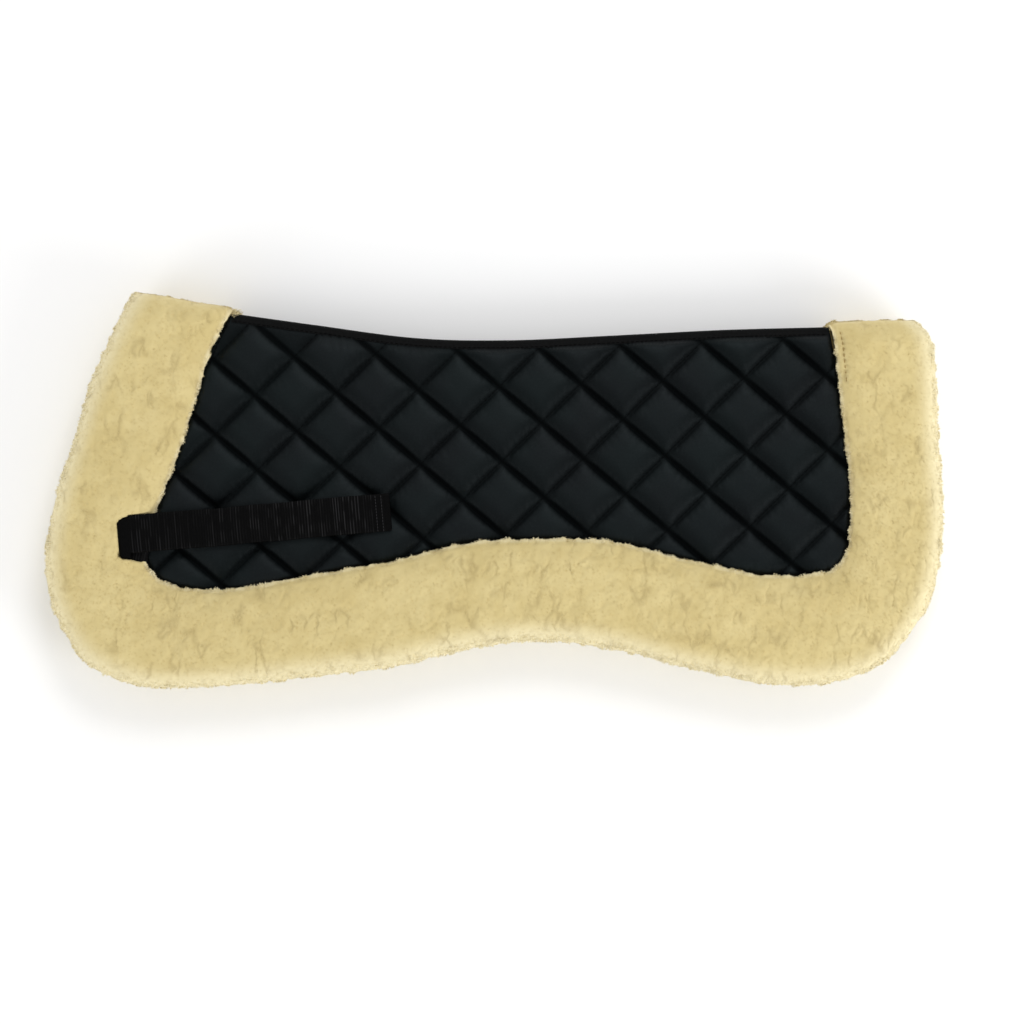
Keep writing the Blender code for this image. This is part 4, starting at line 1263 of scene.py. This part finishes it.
def wrap_grid(at_front, turn):
    """The fleece round a folded end as a grid of rings.

    With it come how open each ring is, its share of the end's width, and the way along the end.
    """
    path, width, along = wrap_path(at_front)
    run = run_of(path)
    at = np.linspace(0, run[-1], WRAP_RINGS)
    centre = resample(path, at, run)
    outward = left_of(centre) * (1 if at_front else -1)
    share, left = at / width, run[-1] - at
    tip = curve(share, FRONT_SWELL if at_front else REAR_SWELL)[:, None] - 0.0003
    tall = curve(at, END_HEIGHTS) + 0.0034 * smooth(0.93, 1.0, share)
    tall = np.minimum(tall, curve(left, ((0, 0.0062), (0.004, 0.0092))))
    closing = 0.97 * quarter_round(1 - np.minimum(at / 0.0040, left / 0.0020)) + 0.03
    closing = closing[:, None]
    root = (-0.0040 * smooth(0.90, 0.60, share) - 0.0020)[:, None]
    z = tall[:, None] * np.sin(turn)
    face = root + (tip - root) * closing * np.cos(turn)
    back = root + 0.0018 * np.cos(turn)
    back = back + np.maximum(-0.0014 - 440 * z**2 - back, 0) * closing
    out = np.where(np.cos(turn) > 0, face, back)
    points = place(centre[:, None] + outward[:, None] * out[..., None], z * closing, LEFT)
    return points, closing, share, along


def make_fold_wrap(end):
    """The fleece round one folded end of the pad, from its corner to the tape's end."""
    at_front = end == "front"
    seed = 120 if at_front else 140
    turn = np.linspace(0, FULL_TURN, WRAP_COLUMNS + 1)[:-1]
    points, closing, share, along = wrap_grid(at_front, turn)
    facing = -1 if at_front else 1
    normals = grid_normals(points) * facing
    relief, crevice = fleece_relief(points, seed)
    lumps = 0.0006 * noise(points, 0.0047, seed + 30) + 0.0002 * noise(points, 0.0022, seed + 31)
    lumps = (0.6 * relief + lumps - 0.0004) * closing * smooth(-0.9, -0.3, np.cos(turn))
    points = points + normals * lumps[..., None]
    points[..., 2] = np.maximum(points[..., 2], 0.0004)
    wrap = make_tube(end + "_fold_fleece", points, FLEECE, facing < 0)
    # Painted shade in the crevices, and painted rim light on the wrap's outer face.
    set_values(wrap, "crevice", crevice)
    set_values(wrap, "rim", np.tile(0.25 * smooth(0.2, 0.9, np.cos(turn)), WRAP_RINGS))
    dress(wrap)
    bend_with_spine(wrap)
    make_wrap_locks(end + "_fold_locks", points, normals, share, at_front, along, seed)


def make_wrap_locks(name, points, normals, share, at_front, along, seed):
    """The locks of a wrap, on its outer face."""
    rng = np.random.default_rng(seed)
    row = rng.uniform(0, WRAP_RINGS - 1.001, WRAP_LOCKS)
    column = rng.uniform(-0.27, 0.27, WRAP_LOCKS) * WRAP_COLUMNS % WRAP_COLUMNS
    roots = sample_grid(points, row, column)
    up = unit(sample_grid(normals, row, column))
    lay = rng.normal(0, 1, (WRAP_LOCKS, 3))
    # At the front they are longer near the tape, and lie towards it
    tuft = smooth(0.93, 1.02, np.interp(row, np.arange(WRAP_RINGS), share)) * at_front
    lay[:, :2] += along * (1.6 * tuft)[:, None]
    lay = along_surface(lay, up)
    clump = smooth(-0.15, 0.5, noise(roots, 0.0047, seed + 30))
    length = rng.uniform(0.0010, 0.0018, WRAP_LOCKS) * (0.75 + 0.5 * clump + 0.9 * tuft)
    thick = rng.uniform(0.00024, 0.00046, WRAP_LOCKS) * (1 + 0.4 * clump)
    # Painted rim light: the locks are painted paler, most in the tuft at the front.
    rim = 0.2 + 0.3 * tuft
    locks = make_locks(name, roots, up, lay, length, thick, 0.2, rim, rng)
    bend_with_spine(locks)


def strip_round_spine(name, profile, shift, material):
    """A strip over the spine fold: profile rows are distance in from the spine line and height."""
    line = resample(SPINE_LINE, np.linspace(0.0015, SPINE_RUN[-1] - 0.0015, 330), SPINE_RUN)
    half = np.array(profile)
    section = spline(np.concatenate((half, half[::-1][1:] * (1, -1))), 8)
    face = unit(np.gradient(section, axis=0))
    under = section + np.stack((face[:, 1], -face[:, 0]), -1) * shift
    ring = np.concatenate((section, under[::-1]))
    points = place(line[:, None] - left_of(line)[:, None] * ring[:, :1], ring[:, 1], LEFT)
    ripple = noise(points, 0.016, 5) * 0.00018 + noise(points, 0.004, 6) * 0.00005
    points[..., 2] += ripple * np.sign(ring[:, 1]) * np.minimum(np.abs(ring[:, 1]) / 0.004, 1)
    return make_tube(name, points, material, False, sharp=0.9)


def make_binding():
    """The binding tape over the spine fold, and its stitches on both halves."""
    gaps = np.array((0.0063, 0.0052, 0.0040, 0.0028, 0.0019))
    rows = list(zip(gaps, panel_height(gaps) + 0.00045))
    rows += [(0.0010, 0.0086), (0.0003, 0.0072), (0.0, 0.0050), (-0.0001, 0.0025), (-0.0001, 0.0)]
    tape = strip_round_spine("spine_binding", rows, -0.00035, TAPE)
    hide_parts("left_spine_tape", "right_spine_tape")
    bend_with_spine(tape)

    at = np.arange(0.004, SPINE_RUN[-1] - 0.004, TAPE_PITCH)
    line = resample(SPINE_LINE, at, SPINE_RUN)
    plan = line - left_of(line) * TAPE_STITCH_INSET
    ahead = level(unit(np.gradient(plan, axis=0)))
    for side in (LEFT, RIGHT):
        middle = place(plan, panel_height(TAPE_STITCH_INSET) + 0.00048, side)
        make_stitches("tape_stitches", side, middle, ahead, (0.0026, 0.0005, 0.0003), THREAD)


def make_gusset():
    """The fleece strip inside the spine fold."""
    rows = ((0.0040, 0.0046), (0.0026, 0.0045), (0.0014, 0.0040), (0.0008, 0.0026), (0.0007, 0.0))
    gusset = strip_round_spine("spine_lining", rows, -0.0009, FLEECE)
    dress(gusset)
    bend_with_spine(gusset)


# Strap


def strap_points(s, over, height, side, turn=STRAP_TILT):
    """Points at distances along and across the strap from its pivot, with heights."""
    along, across = strap_axes(turn)
    plan = STRAP_PIVOT + s[..., None] * along + over[..., None] * across
    return place(plan, height, side)


def webbing_ribs(s, over, seed):
    """The webbing's cross ribs: uneven threads across it, 0 to 1."""
    flat = np.zeros_like(s)
    phase = s / RIB_PITCH + 0.30 * noise(np.stack((s, over * 0.35, flat), -1), 0.011, seed)
    rib = (0.5 + 0.5 * np.cos(FULL_TURN * phase)) ** 1.6
    row = np.stack((np.round(phase) * 0.004, over, flat), -1)
    broken = noise(row, 0.0065, seed + 2)
    number = np.stack((np.round(phase), flat, flat), -1).astype(np.int64)
    strong = grid_value(number, seed)
    return rib * (0.62 + 0.38 * smooth(-0.5, 0.4, broken)) * (0.55 + 0.47 * strong)


def selvedge(edge, width):
    """How far a webbing is thinned near its edges: 1 at an edge, 0 from the width inwards."""
    return 1 - quarter_round(1 - edge / width)


def flap_top(s):
    """The height of the flap's middle along its length."""
    return PIVOT_HEIGHT - FLAP_DROP * np.maximum(s, 0)


def flap_stations(curl):
    """Distances along the flap, with its middle's height and half its thickness at each."""
    fine, coarse = np.arange(0.0, 0.006, 0.0004), np.arange(0.006, HEM_START, 0.00026)
    flat = np.concatenate((fine, coarse, np.linspace(HEM_START, FLAP_LENGTH, 16)))
    s = np.concatenate((-0.0010 - NOSE_RADIUS * np.cos(curl), flat))
    nose = PIVOT_HEIGHT - NOSE_RADIUS + NOSE_RADIUS * np.sin(curl)
    end = quarter_round((s - FLAP_LENGTH + 0.0007) / 0.0007) * WEBBING / 2 + 0.00008
    thick = np.minimum(end, WEBBING / 2)
    thick[0] = 0.0001
    return s, np.concatenate((nose, flap_top(flat))), thick


def flap_width(s, across, seed):
    """Distances across the flap from its middle line: cut askew at its nose, rounded at its end."""
    trim = 0.0016 * (1 - quarter_round((s - FLAP_LENGTH + 0.0016) / 0.0016))
    high, low = curve(s, FLAP_HIGH) - trim, curve(s, FLAP_LOW) + trim
    slow = line_noise(s, 0.022, seed) * 0.0003
    return low[:, None] + (high - low)[:, None] * across + slow[:, None]


def make_flap(side):
    """The strap's free part: a smooth rounded nose, ribbed webbing, and a hem at its end."""
    seed = 200 + side
    curl = np.radians(np.linspace(-78, 90, 14))[:-1]
    across = np.linspace(1, 0, 30)
    s, centre, thick = flap_stations(curl)
    over = flap_width(s, across, seed)
    wide = np.broadcast_to(s[:, None], over.shape)
    centre, thick = centre[:, None], thick[:, None]
    hem = smooth(HEM_START, HEM_START + 0.0006, s[:, None]) * 0.0006
    layer = smooth(NOSE_LENGTH - 0.0003, NOSE_LENGTH + 0.0003, s[:, None]) * 0.00035
    ribs = webbing_ribs(wide, over, seed) * smooth(NOSE_LENGTH, NOSE_LENGTH + 0.001, wide)
    ribs = ribs * smooth(0.1745, 0.1725, wide) * FLAP_RIBS
    thin = selvedge(np.minimum(across, 1 - across), 0.03)
    top = centre + thick * (1 - 0.9 * thin) + (layer - hem) + ribs
    low = centre - thick * (1 - 0.6 * thin)
    # Round the nose the thickness turns with the curl
    turned = np.zeros_like(over)
    bend = slice(0, len(curl))
    rise = np.sin(curl)[:, None] * thick[bend]
    turned[bend] = -np.cos(curl)[:, None] * thick[bend]
    top[bend] = centre[bend] + rise * (1 - 0.9 * thin)
    low[bend] = centre[bend] - rise
    upper = strap_points(wide + turned, over, top, side)
    under = strap_points(wide - turned, over, low, side)[:, ::-3]
    points = np.concatenate((upper, under), 1)
    flap = make_tube(side_name(side, "strap_webbing"), points, STRAP, side == LEFT, sharp=1.0)
    # Painted highlights on the rib crests, brighter towards the flap's end.
    shine = (ribs / FLAP_RIBS) ** 2.4 * (0.75 + 0.45 * smooth(0.06, 0.17, wide))
    set_values(flap, "thread", np.concatenate((shine, 0 * under[..., 0]), 1))
    dress(flap, side, on=None, node="strap_flap")
    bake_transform(flap)


def make_base(side):
    """The strap's sewn part, a little askew under the flap, from the nose to the border's seam."""
    s = np.concatenate((np.linspace(-0.0002, 0.012, 30), np.linspace(0.0125, 0.0215, 26)))
    s = s[:, None]
    across = np.linspace(1, -1, 26)
    over = across * (HALF_STRAP * curve(s, BASE_WIDTHS)) - BASE_SHIFT
    wide = np.broadcast_to(s, over.shape)
    ribs = webbing_ribs(wide, over, 300 + side) * BASE_RIBS
    thick = WEBBING / 2 * (1 - 0.8 * selvedge(1 - np.abs(across), 0.06))
    height = curve(s, BASE_HEIGHTS)
    turn = STRAP_TILT - BASE_TURN
    upper = strap_points(wide, over, height + thick + ribs, side, turn)
    under = strap_points(wide, over, height - thick, side, turn)
    points = np.concatenate((upper, under[:, ::-1]), 1)
    base = make_tube(side_name(side, "strap_root"), points, STRAP, side == LEFT, sharp=1.0)
    # Painted highlights on the base's rib crests, half as strong as on the flap.
    set_values(base, "thread", np.concatenate((ribs / BASE_RIBS, 0 * ribs), 1) * 0.5)
    dress(base, side, node="strap_base")


def make_hem_stitches(side):
    """The stitch rows across the flap near its end, where its hem is sewn down."""
    one = np.arange(-0.0118, 0.0119, HEM_PITCH)
    s = np.repeat((0.1752, HEM_START - 0.0004), len(one))
    over = np.tile(one, 2)
    centre = strap_points(s, over, flap_top(s) + WEBBING / 2 + 0.00042, side)
    ahead = level(np.broadcast_to(strap_axes()[1], (len(s), 2)))
    size = (0.0017, 0.0005, 0.0004)
    make_stitches("hem_stitches", side, centre, ahead, size, HEM_THREAD, "strap", "hem_stitch")


def make_closure(side, kind, span, relief, material):
    """A strip of hook or loop tape sewn under the flap, with its rough face down."""
    s = np.linspace(span[0] * FLAP_LENGTH, span[1] * FLAP_LENGTH, 200)
    over = np.linspace(-0.011, 0.011, 64)
    wide, deep = np.meshgrid(s, over, indexing="ij")
    top = flap_top(wide) - WEBBING / 2 - 0.0003
    rough = np.random.default_rng(11).uniform(0, 1, wide.shape) * relief
    edge = np.minimum.reduce((wide - s[0], s[-1] - wide, deep - over[0], over[-1] - deep))
    low = top - 0.0003 - (0.00055 + rough) * smooth(0.0006, 0.0016, edge)
    upper, under = (strap_points(wide, deep, height, side) for height in (top, low))
    points = np.concatenate((upper, under[:, ::-1]), 1)
    name = side_name(side, kind + "_strip")
    made = make_tube(name, points, material, side == RIGHT, sharp=1.0)
    dress(made, side, "strap", kind + "_tape")


# Floor, light and camera


def make_floor():
    """A plain pale floor."""
    n = Nodes("floor")
    pale = n.finish(Base_Color=(0.96, 0.96, 0.96), Roughness=0.9, Specular_IOR_Level=0.1)
    corners = [(x, y, FLOOR) for x, y in ((-4, -4), (4, -4), (4, 4), (-4, 4))]
    make_mesh("floor", corners, [(0, 1, 2, 3)], pale)


def make_light():
    """Soft light from all round, and three large lamps."""
    world = bpy.data.worlds.new("surround")
    world.use_nodes = True
    background = world.node_tree.nodes["Background"]
    background.inputs["Color"].default_value = (1, 1, 1, 1)
    background.inputs["Strength"].default_value = 0.66
    bpy.context.scene.world = world
    for name, spot, size, energy in LAMPS:
        light = bpy.data.lights.new(name, "AREA")
        light.shape = "DISK"
        light.size = size
        light.energy = energy
        lamp = add_object(name, light)
        lamp.location = spot
        lamp.rotation_mode = "QUATERNION"
        away = Vector(spot) - Vector((0, 0, 0.03))
        lamp.rotation_quaternion = away.to_track_quat("Z", "Y")


def make_camera():
    """The camera, straight above the pad."""
    lens = bpy.data.cameras.new("camera")
    lens.lens = 85
    lens.clip_end = 20
    camera = add_object("camera", lens)
    camera.location = (0.01225, -0.01533, 1.7018)
    scene = bpy.context.scene
    scene.camera = camera
    scene.view_settings.view_transform = "Standard"
    scene.view_settings.look = "None"


make_floor()
make_light()
make_camera()
for pad_side in (LEFT, RIGHT):
    make_border(pad_side)

cover_rim = panel_outline(PANEL_GAP, SPINE_GAP, 0.0017, PANEL_TUCK)
cover_quilt = quilt_mesh(cover_rim, 24)
blow_up(cover_quilt)
make_panel(cover_quilt)
make_wadding(cover_quilt)
for pad_side in (LEFT, RIGHT):
    make_quilt_stitches(pad_side, cover_rim)
    make_seam_stitches(pad_side)
    make_lining(pad_side)
    make_flap(pad_side)
    make_base(pad_side)
    make_hem_stitches(pad_side)
    make_closure(pad_side, "loop", (0.243, 0.568), 0.0003, LOOPS)
    make_closure(pad_side, "hook", (0.676, 0.919), 0.00045, HOOKS)
make_binding()
make_gusset()
make_fold_wrap("front")
make_fold_wrap("rear")

for pad_side in (LEFT, RIGHT):
    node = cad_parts[side_name(pad_side, "anchor_stitch")]
    node.data.materials.clear()
    node.data.materials.append(THREAD)
